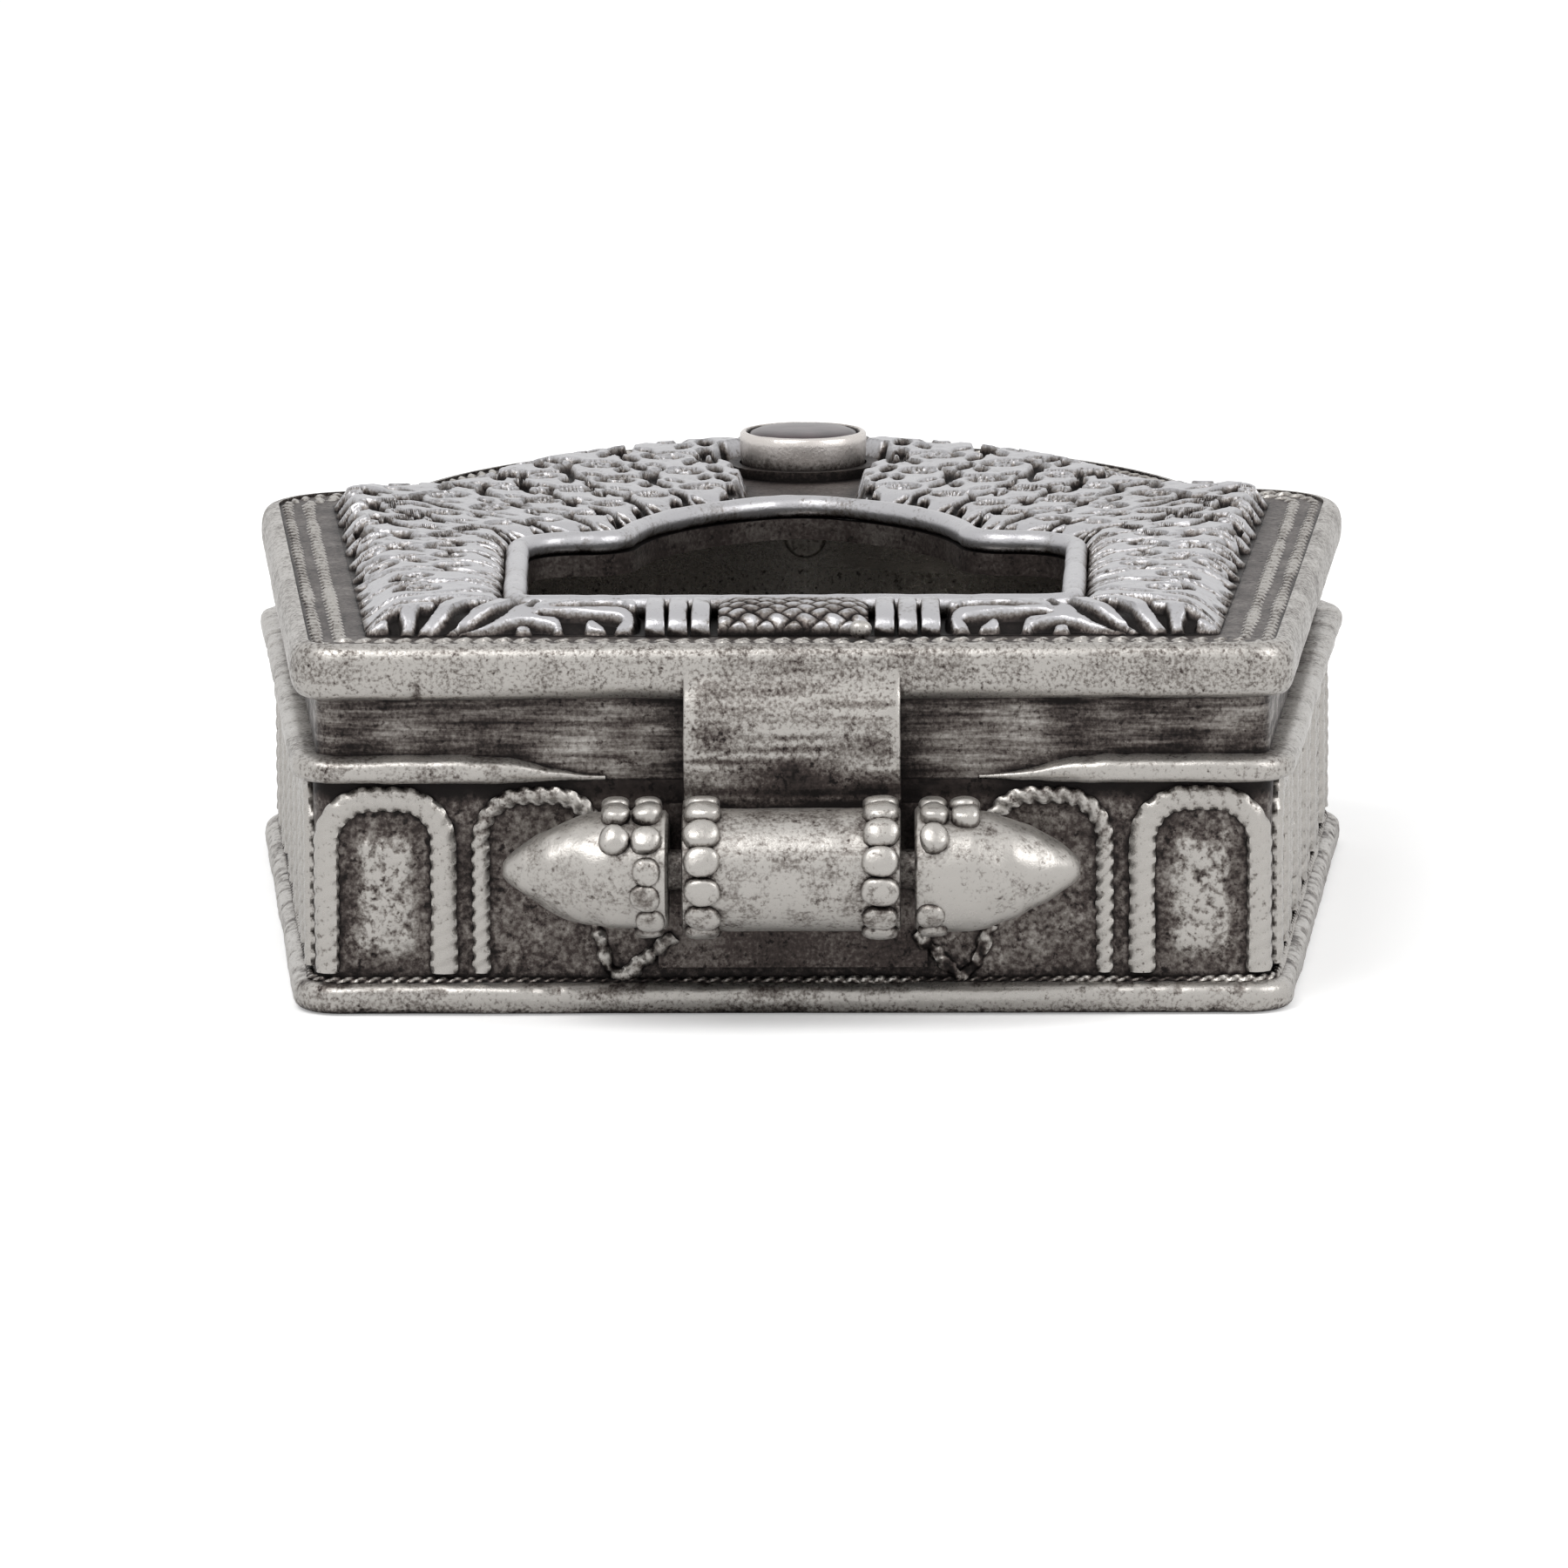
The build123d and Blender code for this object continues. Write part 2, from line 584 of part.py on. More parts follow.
def side_groove_ends():
    """Outer and inner ends of the grooves across the frame's right side."""
    first = WINDOW_FOOT_Y - GROOVE_SLANT
    run = SHOULDER_Y - SHOULDER_CORNER - FRAME_INSET / 2 - first
    count = int(run // GROOVE_PITCH)
    inner_first = WINDOW_FOOT_Y + GROOVE_SLANT
    inner_step = (WINDOW_SHOULDER_Y - inner_first) / count
    ends = []
    for i in range(count + 1):
        outer_y, inner_y = first + i * GROOVE_PITCH, inner_first + i * inner_step
        outer = Vector(side_x(BOX, FRAME_INSET, outer_y), outer_y)
        ends.append((outer, Vector(side_x(WINDOW, -RIM_WIDTH, inner_y), inner_y)))
    return ends


def head_groove_ends():
    """Outer and inner ends of the grooves across the right half of the frame's head, from cusp to apex."""
    circles = []
    for shape, inset in ((BOX, FRAME_INSET), (WINDOW, -RIM_WIDTH)):
        centre_y, radius = head_circle(shape)
        radius -= inset
        start = asin((shape.shoulder_y - inset - centre_y) / radius)
        end = atan2(apex_y(shape, inset) - centre_y, shape.arch_shift)
        circles.append((shape.arch_shift, centre_y, radius, start, end))
    run = circles[0][2] * (circles[0][4] - circles[0][3])
    count = int(run // GROOVE_PITCH)

    def on_circle(circle, share):
        shift, centre_y, radius, start, end = circle
        angle = start + (end - start) * share
        return Vector(radius * cos(angle) - shift, centre_y + radius * sin(angle))

    return [tuple(on_circle(c, i / count) for c in circles) for i in range(count)]


def groove(outer, inner):
    """A bowed groove across the frame between two points, as a prism down to the groove's floor."""
    along = (inner - outer).normalized()
    across = Vector(-along.Y, along.X)
    middle = (outer + inner) * 0.5 + across * GROOVE_BOW
    half = across * (GROOVE_WIDTH / 2)
    edges = [
        ThreePointArc(outer + half, middle + half, inner + half),
        Line(inner + half, inner - half),
        ThreePointArc(inner - half, middle - half, outer - half),
        Line(outer - half, outer + half),
    ]
    return Pos(0, FOOT_Y, LID_TOP_Z + FRAME_CREST - GROOVE_DEPTH) * extrude(make_face(edges), FRAME_CREST)


def make_scroll_frame(dome):
    """The frame of scrollwork, open at the foot for the bars and plaque, and round the stone's setting."""
    end = BAR_END + FRAME_END_GAP
    seat = STONE * Cylinder(CUP_RADIUS + COLLAR_WIDTH + SETTING_GAP, 4 * FRAME_CREST)
    reach = (Align.CENTER, Align.MAX, Align.CENTER)
    apron = STONE * Box(APRON_WIDTH, STONE_Y - WINDOW_APEX_Y, 4 * FRAME_CREST, align=reach)
    grooves = [groove(*ends) for ends in foot_groove_ends() + side_groove_ends() + head_groove_ends()]
    grooves += [mirror(g, about=Plane.YZ) for g in grooves]
    return dome - foot_slab(-end, end) - seat - apron - grooves


def make_foot_bars(dome, side):
    """Three upright bars on one side of the plaque."""
    starts = [BAR_START + i * BAR_PITCH for i in range(BAR_COUNT)]
    spans = [sorted((side * x, side * (x + BAR_WIDTH))) for x in starts]
    return Compound([solid for span in spans for solid in (dome & foot_slab(*span)).solids()])


def make_woven_plaque(dome):
    """The low plaque of woven strips between the bars."""
    half = BAR_START - PLAQUE_GAP
    return dome & foot_slab(-half, half)


def make_frieze_granule():
    """A single granule on the plate, sunk in the inner border wire before the plaque."""
    y = FOOT_Y + INNER_WIRE_INSET + BORDER_WIRE_WIDTH / 2
    ball = Pos(GRANULE_X, y, LID_TOP_Z + GRANULE_RADIUS) * Sphere(GRANULE_RADIUS)
    return ball - make_border_wire(INNER_WIRE_INSET)


def make_setting_collar():
    """The flat collar round the foot of the stone's cup."""
    outer = Cylinder(CUP_RADIUS + COLLAR_WIDTH, COLLAR_HEIGHT, align=(Align.CENTER, Align.CENTER, Align.MIN))
    inner = Cylinder(CUP_RADIUS, 4 * COLLAR_HEIGHT)
    return STONE * (outer - inner)


def make_stone_cup():
    """The cup that holds the stone."""
    low = (Align.CENTER, Align.CENTER, Align.MIN)
    cup = Cylinder(CUP_RADIUS, CUP_HEIGHT, align=low)
    hollow = Pos(0, 0, CUP_FLOOR) * Cylinder(CUP_RADIUS - CUP_WALL, CUP_HEIGHT, align=low)
    return STONE * (cup - hollow)


def make_stone():
    """The low domed stone."""
    radius = CUP_RADIUS - CUP_WALL - STONE_FIT
    crown_z = CUP_HEIGHT - CUP_FLOOR + STONE_CROWN
    crown_radius = (radius**2 + STONE_CROWN**2) / (2 * STONE_CROWN)
    drum = Cylinder(radius, crown_z, align=(Align.CENTER, Align.CENTER, Align.MIN))
    crown = Pos(0, 0, crown_z - crown_radius) * Sphere(crown_radius)
    return STONE * Pos(0, 0, CUP_FLOOR) * (drum & crown)


def make_hinge_barrel():
    """The barrel on the lid, which turns on the pin."""
    part = Cylinder(BARREL_RADIUS, BARREL_LENGTH) - Cylinder(PIN_RADIUS + PIN_RUNNING_FIT, 2 * BARREL_LENGTH)
    return HINGE * along_x(part)


def make_hinge_strap():
    """The strap from the lid's band down to the barrel."""
    half = BARREL_LENGTH / 2
    high = LID_TOP_Z - STRAP_TOP_GAP
    plate = slab(-half, half, FOOT_Y - STRAP_THICKNESS, FOOT_Y, HINGE_Z + STRAP_FOOT, high)
    return plate - HINGE * along_x(Cylinder(BARREL_RADIUS, 2 * BARREL_LENGTH))


def make_barrel_beads(side):
    """The ring of granules at one end of the barrel, without those that the strap covers."""
    middle = BARREL_LENGTH / 2 - BEAD_RADIUS - BEAD_EDGE_GAP
    beads = [HINGE * along_x(b) for b in bead_ring(BARREL_RADIUS, side * middle)]
    strap = make_hinge_strap()
    return Compound([b for b in beads if strap.distance_to(b) > BEAD_EDGE_GAP])


def main():
    dome = frame_dome()
    foot_arches = make_foot_arches()
    hinge_plate = make_hinge_plate(foot_arches)
    nodes = {
        "back_plate": make_back_plate(),
        "base_wire": make_base_wire(),
        "side_wall": make_side_wall(),
        "neck_collar": make_neck_collar(),
        "shoulder_moulding": make_shoulder_moulding(),
        "foot_arches": foot_arches,
        "left_arches": make_side_arches(-1),
        "right_arches": make_side_arches(1),
        "head_arches": make_head_arches(),
        "hinge_plate": hinge_plate,
        "left_knuckle": make_knuckle(-1),
        "right_knuckle": make_knuckle(1),
        "left_knuckle_lug": make_lug(-1, hinge_plate, foot_arches),
        "right_knuckle_lug": make_lug(1, hinge_plate, foot_arches),
        "left_knuckle_beads": make_knuckle_beads(-1, 2),
        "right_knuckle_beads": make_knuckle_beads(1, 1),
        "hinge_pin": make_hinge_pin(),
        "bail_tube": make_bail_tube(),
        "bail_post": make_bail_post(),
        "lid_band": make_lid_band(),
        "lid_plate": make_lid_plate(),
        "outer_border_wire": make_border_wire(OUTER_WIRE_INSET),
        "inner_border_wire": make_border_wire(INNER_WIRE_INSET),
        "window_rim": make_window_rim(),
        "scroll_frame": make_scroll_frame(dome),
        "left_foot_bars": make_foot_bars(dome, -1),
        "right_foot_bars": make_foot_bars(dome, 1),
        "woven_plaque": make_woven_plaque(dome),
        "frieze_granule": make_frieze_granule(),
        "setting_collar": make_setting_collar(),
        "stone_cup": make_stone_cup(),
        "stone": make_stone(),
        "hinge_strap": make_hinge_strap(),
        "hinge_barrel": make_hinge_barrel(),
        "left_barrel_beads": make_barrel_beads(-1),
        "right_barrel_beads": make_barrel_beads(1),
    }
    os.makedirs("parts", exist_ok=True)
    for name, part in nodes.items():
        export_step(part, f"parts/{name}.step")


main()
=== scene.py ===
"""Looks of a shrine-shaped ghau amulet box of oxidised silver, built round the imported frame.

Lengths are in millimetres, and become metres where a mesh is made.
"""

import math
from collections import namedtuple

import bmesh
import bpy
import numpy as np
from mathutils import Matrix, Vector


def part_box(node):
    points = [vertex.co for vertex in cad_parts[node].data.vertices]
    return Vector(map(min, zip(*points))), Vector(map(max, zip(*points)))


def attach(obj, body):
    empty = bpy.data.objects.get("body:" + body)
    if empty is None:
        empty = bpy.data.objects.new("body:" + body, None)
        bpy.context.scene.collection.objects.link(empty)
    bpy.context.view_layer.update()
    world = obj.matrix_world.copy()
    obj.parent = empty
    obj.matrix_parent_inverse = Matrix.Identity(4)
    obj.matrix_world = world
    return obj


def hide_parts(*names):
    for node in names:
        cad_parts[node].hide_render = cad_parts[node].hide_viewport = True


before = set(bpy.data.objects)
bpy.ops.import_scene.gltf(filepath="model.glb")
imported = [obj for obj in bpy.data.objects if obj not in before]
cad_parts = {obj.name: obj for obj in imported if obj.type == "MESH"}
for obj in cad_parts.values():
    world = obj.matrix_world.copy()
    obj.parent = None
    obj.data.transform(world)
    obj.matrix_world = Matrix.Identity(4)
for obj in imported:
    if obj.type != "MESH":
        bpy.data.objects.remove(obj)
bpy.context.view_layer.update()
MM = 0.001

# The camera stands in front of the foot, a little above, in millimetres and degrees
CAMERA_PLACE = (5.2, -480.4, 90.0)
CAMERA_PITCH = 10.1
CAMERA_YAW = 0.7
CAMERA_ROLL = -0.25
LENS_MM = 263.4
SENSOR_MM = 36.0
CLIP_START = 10.0

# Floor, surroundings and lamps: a lamp has a name, a place and a size in millimetres, and watts
FLOOR_HALF = 900.0
FLOOR_GLOW = 0.3
WORLD_LIGHT = 0.7
LAMPS = (("key", (-180, -260, 420), 260, 1.1), ("fill", (320, -160, 260), 220, 0.5))

# Plans of the box and of the window, measured from the box's foot
Shrine = namedtuple(
    "Shrine",
    "foot_y foot_half shoulder_half shoulder_y step apex_y arch_shift foot_r shoulder_r cusp_r apex_r",
)
BOX = Shrine(0, 20.0, 23.7, 42.2, 6.15, 56.7, 2.0, 2.0, 4.2, 1.0, 1.5)
WINDOW = Shrine(8.2, 10.9, 11.3, 24.1, 4.4, 34.4, 4.0, 0.8, 2.1, 2.2, 3.0)
LEAST_CORNER = 0.35
SHOULDER_SHARE = 0.85


def low(node):
    """Lowest corner of a node in millimetres."""
    return np.array(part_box(node)[0]) / MM


def high(node):
    """Highest corner of a node in millimetres."""
    return np.array(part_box(node)[1]) / MM


def middle(node):
    """Middle of a node's box in millimetres."""
    return (low(node) + high(node)) / 2


# Heights and places read from the frame
FOOT_Y = low("lid_band")[1]
BACK_TOP = high("back_plate")[2]
WALL_TOP = high("side_wall")[2]
BASE_WIRE_TOP = high("base_wire")[2]
MOULDING_TOP = high("shoulder_moulding")[2]
BAND_FOOT = low("lid_band")[2]
LID_TOP = high("lid_plate")[2]
BAND_TOP = LID_TOP + 0.12
CREST = high("scroll_frame")[2] - LID_TOP
HINGE = middle("hinge_pin")[1:]
CUP_MIDDLE = middle("stone_cup")

# Insets from the lid's outer edge
WALL_INSET = 0.9
WALL_THICKNESS = 0.8
BAND_THICKNESS = 0.75
NECK_INSET = 1.0
WIRE_WIDTH = 0.75
WIRE_GAP = 0.15
FRAME_GAP = 0.7
RIM_WIDTH = 0.9
FRAME_INSET = BAND_THICKNESS + 2 * WIRE_WIDTH + WIRE_GAP + FRAME_GAP
FRAME_FOOT = WINDOW.foot_y - RIM_WIDTH
WALL_FRONT = FOOT_Y + WALL_INSET

# Worn surfaces: sizes of lumps and grain, a seed, then the wear and what lumps and grain add to it
Finish = namedtuple("Finish", "lump_size fine_size seed ground lump fine")
BAND = Finish(5.0, 1.1, 11, 0.6, 0.12, 0.12)
FLANGE = Finish(4.0, 0.9, 31, 0.78, 0.15, 0.15)
MOULDING = Finish(3.0, 0.7, 35, 0.74, 0.2, 0.22)
RIM = Finish(2.4, 0.6, 41, 0.72, 0.12, 0.15)
BARREL = Finish(2.5, 0.55, 71, 0.6, 0.12, 0.2)
LEFT_KNUCKLE = Finish(2.2, 0.6, 110, 0.72, 0.2, 0.15)
RIGHT_KNUCKLE = LEFT_KNUCKLE._replace(seed=130)
CUP = Finish(1.6, 0.5, 141, 0.0, 0.18, 0.14)
STONE = Finish(1.6, 0.5, 143, 0.5, 0.18, 0.14)
BAIL = Finish(2.0, 0.5, 161, 0.55, 0.2, 0.2)


def arc(centre, radius, start, end, steps=28):
    """Points on an arc, with angles in radians."""
    angles = np.linspace(start, end, steps)
    return np.column_stack((centre[0] + radius * np.cos(angles), centre[1] + radius * np.sin(angles)))


def circle(sides):
    """Angles round a full turn."""
    return np.arange(sides) * 2 * math.pi / sides


def unit(vectors):
    """Vectors brought to a length of one."""
    return vectors / np.linalg.norm(vectors, axis=-1, keepdims=True)


def smooth(value):
    """Eases from 0 to 1 as a value goes from 0 to 1."""
    value = np.clip(value, 0, 1)
    return value * value * (3 - 2 * value)


def pillow(distance, run):
    """Rises from 0 to 1 over a run, as a quarter round."""
    t = np.clip(distance / run, 0, 1)
    return np.sqrt(1 - (1 - t) ** 2)


def signed_power(value, power):
    """A power of a value's size, with the value's sign kept."""
    return np.sign(value) * np.abs(value) ** power


NOISE_CELLS = 4096
NOISE_PRIMES = (73856093, 19349663, 83492791)
NOISE_SHIFT = 512


def noise(points, size, seed):
    """Smooth random values between -1 and 1 at points, in lumps of about that size."""
    table = np.random.default_rng(seed).uniform(-1, 1, NOISE_CELLS)
    place = np.asarray(points, float) / size + NOISE_SHIFT
    cell = np.floor(place).astype(np.int64)
    part = place - cell
    part = part * part * (3 - 2 * part)
    total = np.zeros(place.shape[:-1])
    for corner in np.ndindex(2, 2, 2):
        x, y, z = np.moveaxis((cell + corner) * NOISE_PRIMES, -1, 0)
        weight = np.prod(np.where(corner, part, 1 - part), axis=-1)
        total += weight * table[(x ^ y ^ z) % NOISE_CELLS]
    return total


def finish(points, kind):
    """Lumps, grain and wear of a worn surface at points."""
    lump = noise(points, kind.lump_size, kind.seed)
    fine = noise(points, kind.fine_size, kind.seed + 1)
    return lump, fine, kind.ground + kind.lump * lump + kind.fine * fine


def head_circle(shape):
    """Centre height and radius of the circle that each half of a shrine's pointed head follows."""
    reach = shape.shoulder_half - shape.step + shape.arch_shift
    rise = shape.apex_y - shape.shoulder_y
    centre_y = (shape.apex_y**2 - shape.shoulder_y**2 + shape.arch_shift**2 - reach**2) / (2 * rise)
    return centre_y, math.hypot(shape.arch_shift, shape.apex_y - centre_y)


def side_x(shape, inset, y):
    """Where the inset side of a shrine is at height y of its plan."""
    lean = (shape.shoulder_half - shape.foot_half) / (shape.shoulder_y - shape.foot_y)
    return shape.foot_half + lean * (y - shape.foot_y) - inset * math.hypot(1, lean)


def shrine_runs(shape, inset):
    """The right half of an inset shrine from foot to apex, as its foot, side, shoulder and head runs."""
    shift = shape.arch_shift
    turn = math.atan2(shape.shoulder_half - shape.foot_half, shape.shoulder_y - shape.foot_y)
    centre_y, radius = head_circle(shape)
    radius -= inset
    foot = shape.foot_y + inset
    shoulder = shape.shoulder_y - inset
    step = side_x(shape, inset, shoulder) + shift - math.sqrt(radius**2 - (shoulder - centre_y) ** 2)
    foot_r = max(shape.foot_r - inset, LEAST_CORNER)
    shoulder_r = min(max(shape.shoulder_r - inset, LEAST_CORNER), SHOULDER_SHARE * step)
    room = step - shoulder_r * math.tan((math.pi / 2 + turn) / 2)
    cusp_r = min(max(shape.cusp_r + inset, LEAST_CORNER), room)
    apex_r = max(shape.apex_r - inset, LEAST_CORNER)
    foot_mid = (side_x(shape, inset + foot_r, foot + foot_r), foot + foot_r)
    shoulder_mid = (side_x(shape, inset + shoulder_r, shoulder - shoulder_r), shoulder - shoulder_r)
    cusp_y = shoulder + cusp_r
    cusp_x = math.sqrt((radius + cusp_r) ** 2 - (cusp_y - centre_y) ** 2) - shift
    cusp_turn = math.atan2(cusp_y - centre_y, cusp_x + shift)
    apex_mid = (0, centre_y + math.sqrt((radius - apex_r) ** 2 - shift**2))
    apex_turn = math.atan2(apex_mid[1] - centre_y, shift)
    foot_run = np.vstack(([[0, foot]], arc(foot_mid, foot_r, -math.pi / 2, -turn)))
    shoulder_arc = arc(shoulder_mid, shoulder_r, -turn, math.pi / 2)
    cusp_arc = arc((cusp_x, cusp_y), cusp_r, -math.pi / 2, cusp_turn - math.pi)
    head = arc((-shift, centre_y), radius, cusp_turn, apex_turn, 60)
    point = arc(apex_mid, apex_r, apex_turn, math.pi / 2)
    side_run = np.vstack((foot_run[-1:], shoulder_arc[:1]))
    shoulder_run = np.vstack((shoulder_arc, cusp_arc[:1]))
    head_run = np.vstack((cusp_arc, head[1:], point[1:]))
    return foot_run, side_run, shoulder_run, head_run


def steps_along(points):
    """Distance along a line of points at each of them."""
    return np.r_[0, np.cumsum(np.linalg.norm(np.diff(points, axis=0), axis=1))]


def resample(points, count):
    """That many points, evenly spaced along a line of points, both ends kept."""
    steps = steps_along(points)
    at = np.linspace(0, steps[-1], count)
    return np.column_stack([np.interp(at, steps, column) for column in points.T])


class Loop:
    """A closed line round a shrine in the row frame, anticlockwise from the middle of the foot."""

    def __init__(self, shape, inset, spacing):
        half = np.vstack(shrine_runs(shape, inset))
        half = half[np.r_[True, np.linalg.norm(np.diff(half, axis=0), axis=1) > 1e-6]]
        closed = np.vstack((half, (half * (-1, 1))[-2::-1])) + (0, FOOT_Y)
        self.length = steps_along(closed)[-1]
        self.count = int(round(self.length / spacing))
        self.points = resample(closed, self.count + 1)[:-1]
        along = unit(np.roll(self.points, -1, axis=0) - np.roll(self.points, 1, axis=0))
        self.normals = np.column_stack((along[:, 1], -along[:, 0]))
        self.places = np.arange(self.count) * self.length / self.count

    def at(self, distance):
        """Points and outward normals at distances along the loop."""
        place = np.mod(distance, self.length) / self.length * self.count
        first = np.floor(place).astype(int) % self.count
        second = (first + 1) % self.count
        share = (place - np.floor(place))[..., None]
        point = self.points[first] * (1 - share) + self.points[second] * share
        normal = self.normals[first] * (1 - share) + self.normals[second] * share
        return point, unit(normal)

    def nearest(self, x, y):
        """Distance along the loop of the point nearest to a place of the plan."""
        return self.places[np.argmin(np.hypot(self.points[:, 0] - x, self.points[:, 1] - FOOT_Y - y))]


# A grid of points whose columns go round. Its rows go round too where it is closed, and else have end caps.
Grid = namedtuple("Grid", "points wear closed", defaults=(False,))


def grid_faces(grid, first):
    """Faces of a grid whose points are numbered row by row."""
    rows, columns = grid.points.shape[:2]
    a, b = np.meshgrid(np.arange(rows if grid.closed else rows - 1), np.arange(columns), indexing="ij")
    a_next, b_next = (a + 1) % rows, (b + 1) % columns
    corners = (a * columns + b, a_next * columns + b, a_next * columns + b_next, a * columns + b_next)
    faces = (first + np.stack(corners, -1).reshape(-1, 4)).tolist()
    if not grid.closed:
        last = first + (rows - 1) * columns
        faces.append(list(range(first + columns - 1, first - 1, -1)))
        faces.append(list(range(last, last + columns)))
    return faces


def piece(name, body, slot, material, grids, *nodes, crease=50):
    """Makes an object of grids, which rides on a body and stands for those nodes."""
    points, wear, faces, count = [], [], [], 0
    for grid in grids:
        faces += grid_faces(grid, count)
        points.append(grid.points.reshape(-1, 3))
        wear.append(np.broadcast_to(grid.wear, grid.points.shape[:2]).reshape(-1))
        count += len(points[-1])
    mesh = bpy.data.meshes.new(name)
    mesh.from_pydata((np.vstack(points) * MM).tolist(), [], faces)
    # This attribute holds wear and patina, and in places also painted shade and painted light
    attribute = mesh.attributes.new("wear", "FLOAT", "POINT")
    attribute.data.foreach_set("value", np.clip(np.concatenate(wear), 0, 1).astype(np.float32))
    tidy = bmesh.new()
    tidy.from_mesh(mesh)
    bmesh.ops.recalc_face_normals(tidy, faces=tidy.faces)
    tidy.to_mesh(mesh)
    tidy.free()
    mesh.shade_smooth()
    mesh.set_sharp_from_angle(angle=math.radians(crease))
    mesh.materials.append(material)
    obj = bpy.data.objects.new(name, mesh)
    bpy.context.collection.objects.link(obj)
    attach(obj, body)
    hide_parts(*nodes)


def raised(plan, normal, outset, z):
    """Grid of points of a section along a line: outset and z are (points of line, points of section)."""
    outset = np.broadcast_to(outset, (len(plan), np.shape(outset)[-1]))
    z = np.broadcast_to(z, outset.shape)
    return np.concatenate((plan[:, None] + normal[:, None] * outset[..., None], z[..., None]), axis=-1)


def sweep(loop, outset, z):
    """Grid of points of a section round a loop."""
    return raised(loop.points, loop.normals, outset, z)


def tube(path, out, up, radius):
    """Grid of points round a path, from its two side directions and the radius at each angle."""
    angle = circle(radius.shape[1])
    across = (radius * np.cos(angle))[..., None] * out[:, None]
    return path[:, None] + across + (radius * np.sin(angle))[..., None] * up[:, None]


def rings(along, radius, sides):
    """Grids of a turned piece: the place along its axis, and the two distances from that axis."""
    angle = circle(sides)
    radius = np.broadcast_to(radius, (len(along), sides))
    return np.broadcast_to(along[:, None], radius.shape), radius * np.cos(angle), radius * np.sin(angle)


def turned(along, radius, centre, sides):
    """Grid of points turned round a line along X, through a y and z."""
    x, ahead, up = rings(along, radius, sides)
    return np.stack((x, centre[0] - ahead, centre[1] + up), -1)


def pillow_section(low_z, high_z, depth, count, power=2.6):
    """Half of a rounded section from its foot to its top: outset from the back plane, and z."""
    angle = np.linspace(-math.pi / 2, math.pi / 2, count)
    bulge = np.abs(np.cos(angle)) ** (2 / power) * depth
    half = (high_z - low_z) / 2
    return bulge, (low_z + high_z) / 2 + signed_power(np.sin(angle), 2 / power) * half


# Twisted wires
ROPE_SIDES = 10
ROPE_STATIONS = 8
ROPE_WAIST = 0.5
ROPE_LOSS = 0.12
BORDER_PITCH = 0.8
BORDER_RADIUS = 0.38
BORDER_SINK = 0.24
BORDER_WIRES = (("outer_border_wire", 0.0, 21), ("inner_border_wire", WIRE_WIDTH + WIRE_GAP, 22))
BASE_PITCH = 0.55
BASE_RADIUS = 0.2
BASE_LOSS = 0.45
BASE_OUT = 0.2
BASE_LIFT = 0.02


def rope_section(distance, radius, pitch, waist=ROPE_WAIST):
    """Radius and wear of a two-strand twisted wire at each station and angle."""
    lay = np.abs(np.cos(circle(ROPE_SIDES)[None] - math.pi * distance[:, None] / pitch))
    return radius * (waist + (1 - waist) * lay), lay**1.5


def loop_rope(inset, z, radius, pitch, seed, loss=ROPE_LOSS):
    """A twisted wire round the box, which loses up to a share of its radius to wear."""
    length = Loop(BOX, inset, pitch).length
    pitch = length / (2 * round(length / pitch / 2))
    loop = Loop(BOX, inset, pitch / ROPE_STATIONS)
    section, wear = rope_section(loop.places, radius, pitch)
    path = np.column_stack((loop.points, np.full(loop.count, z)))
    worn = noise(path, 3.0, seed)[:, None]
    out = np.column_stack((loop.normals, np.zeros(loop.count)))
    up = np.tile((0.0, 0.0, 1.0), (loop.count, 1))
    points = tube(path, out, up, section * (1 + loss * worn))
    return Grid(points, 0.25 + 0.6 * wear + 1.7 * loss * worn, True)


def add_border_wires(material):
    """The two twisted wires that border the lid."""
    for node, inset, seed in BORDER_WIRES:
        inset = BAND_THICKNESS + inset + WIRE_WIDTH / 2
        wire = loop_rope(inset, LID_TOP - BORDER_SINK, BORDER_RADIUS, BORDER_PITCH, seed)
        piece(f"twisted_{node}", "lid", "worn_silver", material, [wire], node)


# Arcade: a wire has a radius, a waist and a spread along the wall
FOOT_ARCH_PITCH = 6.55
ARCH_PITCH = 0.62
ARCH_WIRE = (0.5, 0.88, 1.12)
ARCH_HALF = 2.35
ARCH_CORNER = 1.8
ARCH_FLATNESS = 0.7
ARCH_TOP_GAP = 0.25
ARCH_SINK = 0.1
ARCH_PROUD = 0.08
SIDE_ARCHES = 5
SIDE_ARCH_START = 1.9
SIDE_ARCH_PITCH = 6.74
HEAD_ARCHES = 3
HEAD_ARCH_MARGIN = 4.3
ARCH_WIDTH = 5.7
WALL_LOOP = Loop(BOX, WALL_INSET, 0.13)

# The two arches beside the hinge, which it partly covers
COVERED_ARCHES = 2
COVERED_WIRE = (0.38, 0.7, 1.0)
COVERED_SHIFT = 0.35
COVERED_SHADE = 0.4
COVERED_LEG = 3.0

# Rough brackets under the knuckles: x and z of their points
BRACKETS = (
    ((-7.95, 3.75), (-7.4, 1.8), (-6.8, 1.45), (-5.9, 2.2), (-4.8, 3.25)),
    ((7.9, 3.6), (7.3, 1.9), (6.7, 1.45), (5.7, 2.5), (4.9, 3.3)),
)
BRACKET_RADIUS = 0.28
BRACKET_STATIONS = 90
BRACKET_SIDES = 10

# Stippled panels within the arches
WALL_ROWS = 58
PANEL_HALF = 1.35
PANEL_LOW = 2.05
PANEL_HIGH = 7.5
PANEL_RISE = 0.2
PANEL_SIDE_RUN = 0.7
PANEL_END_RUN = 0.9


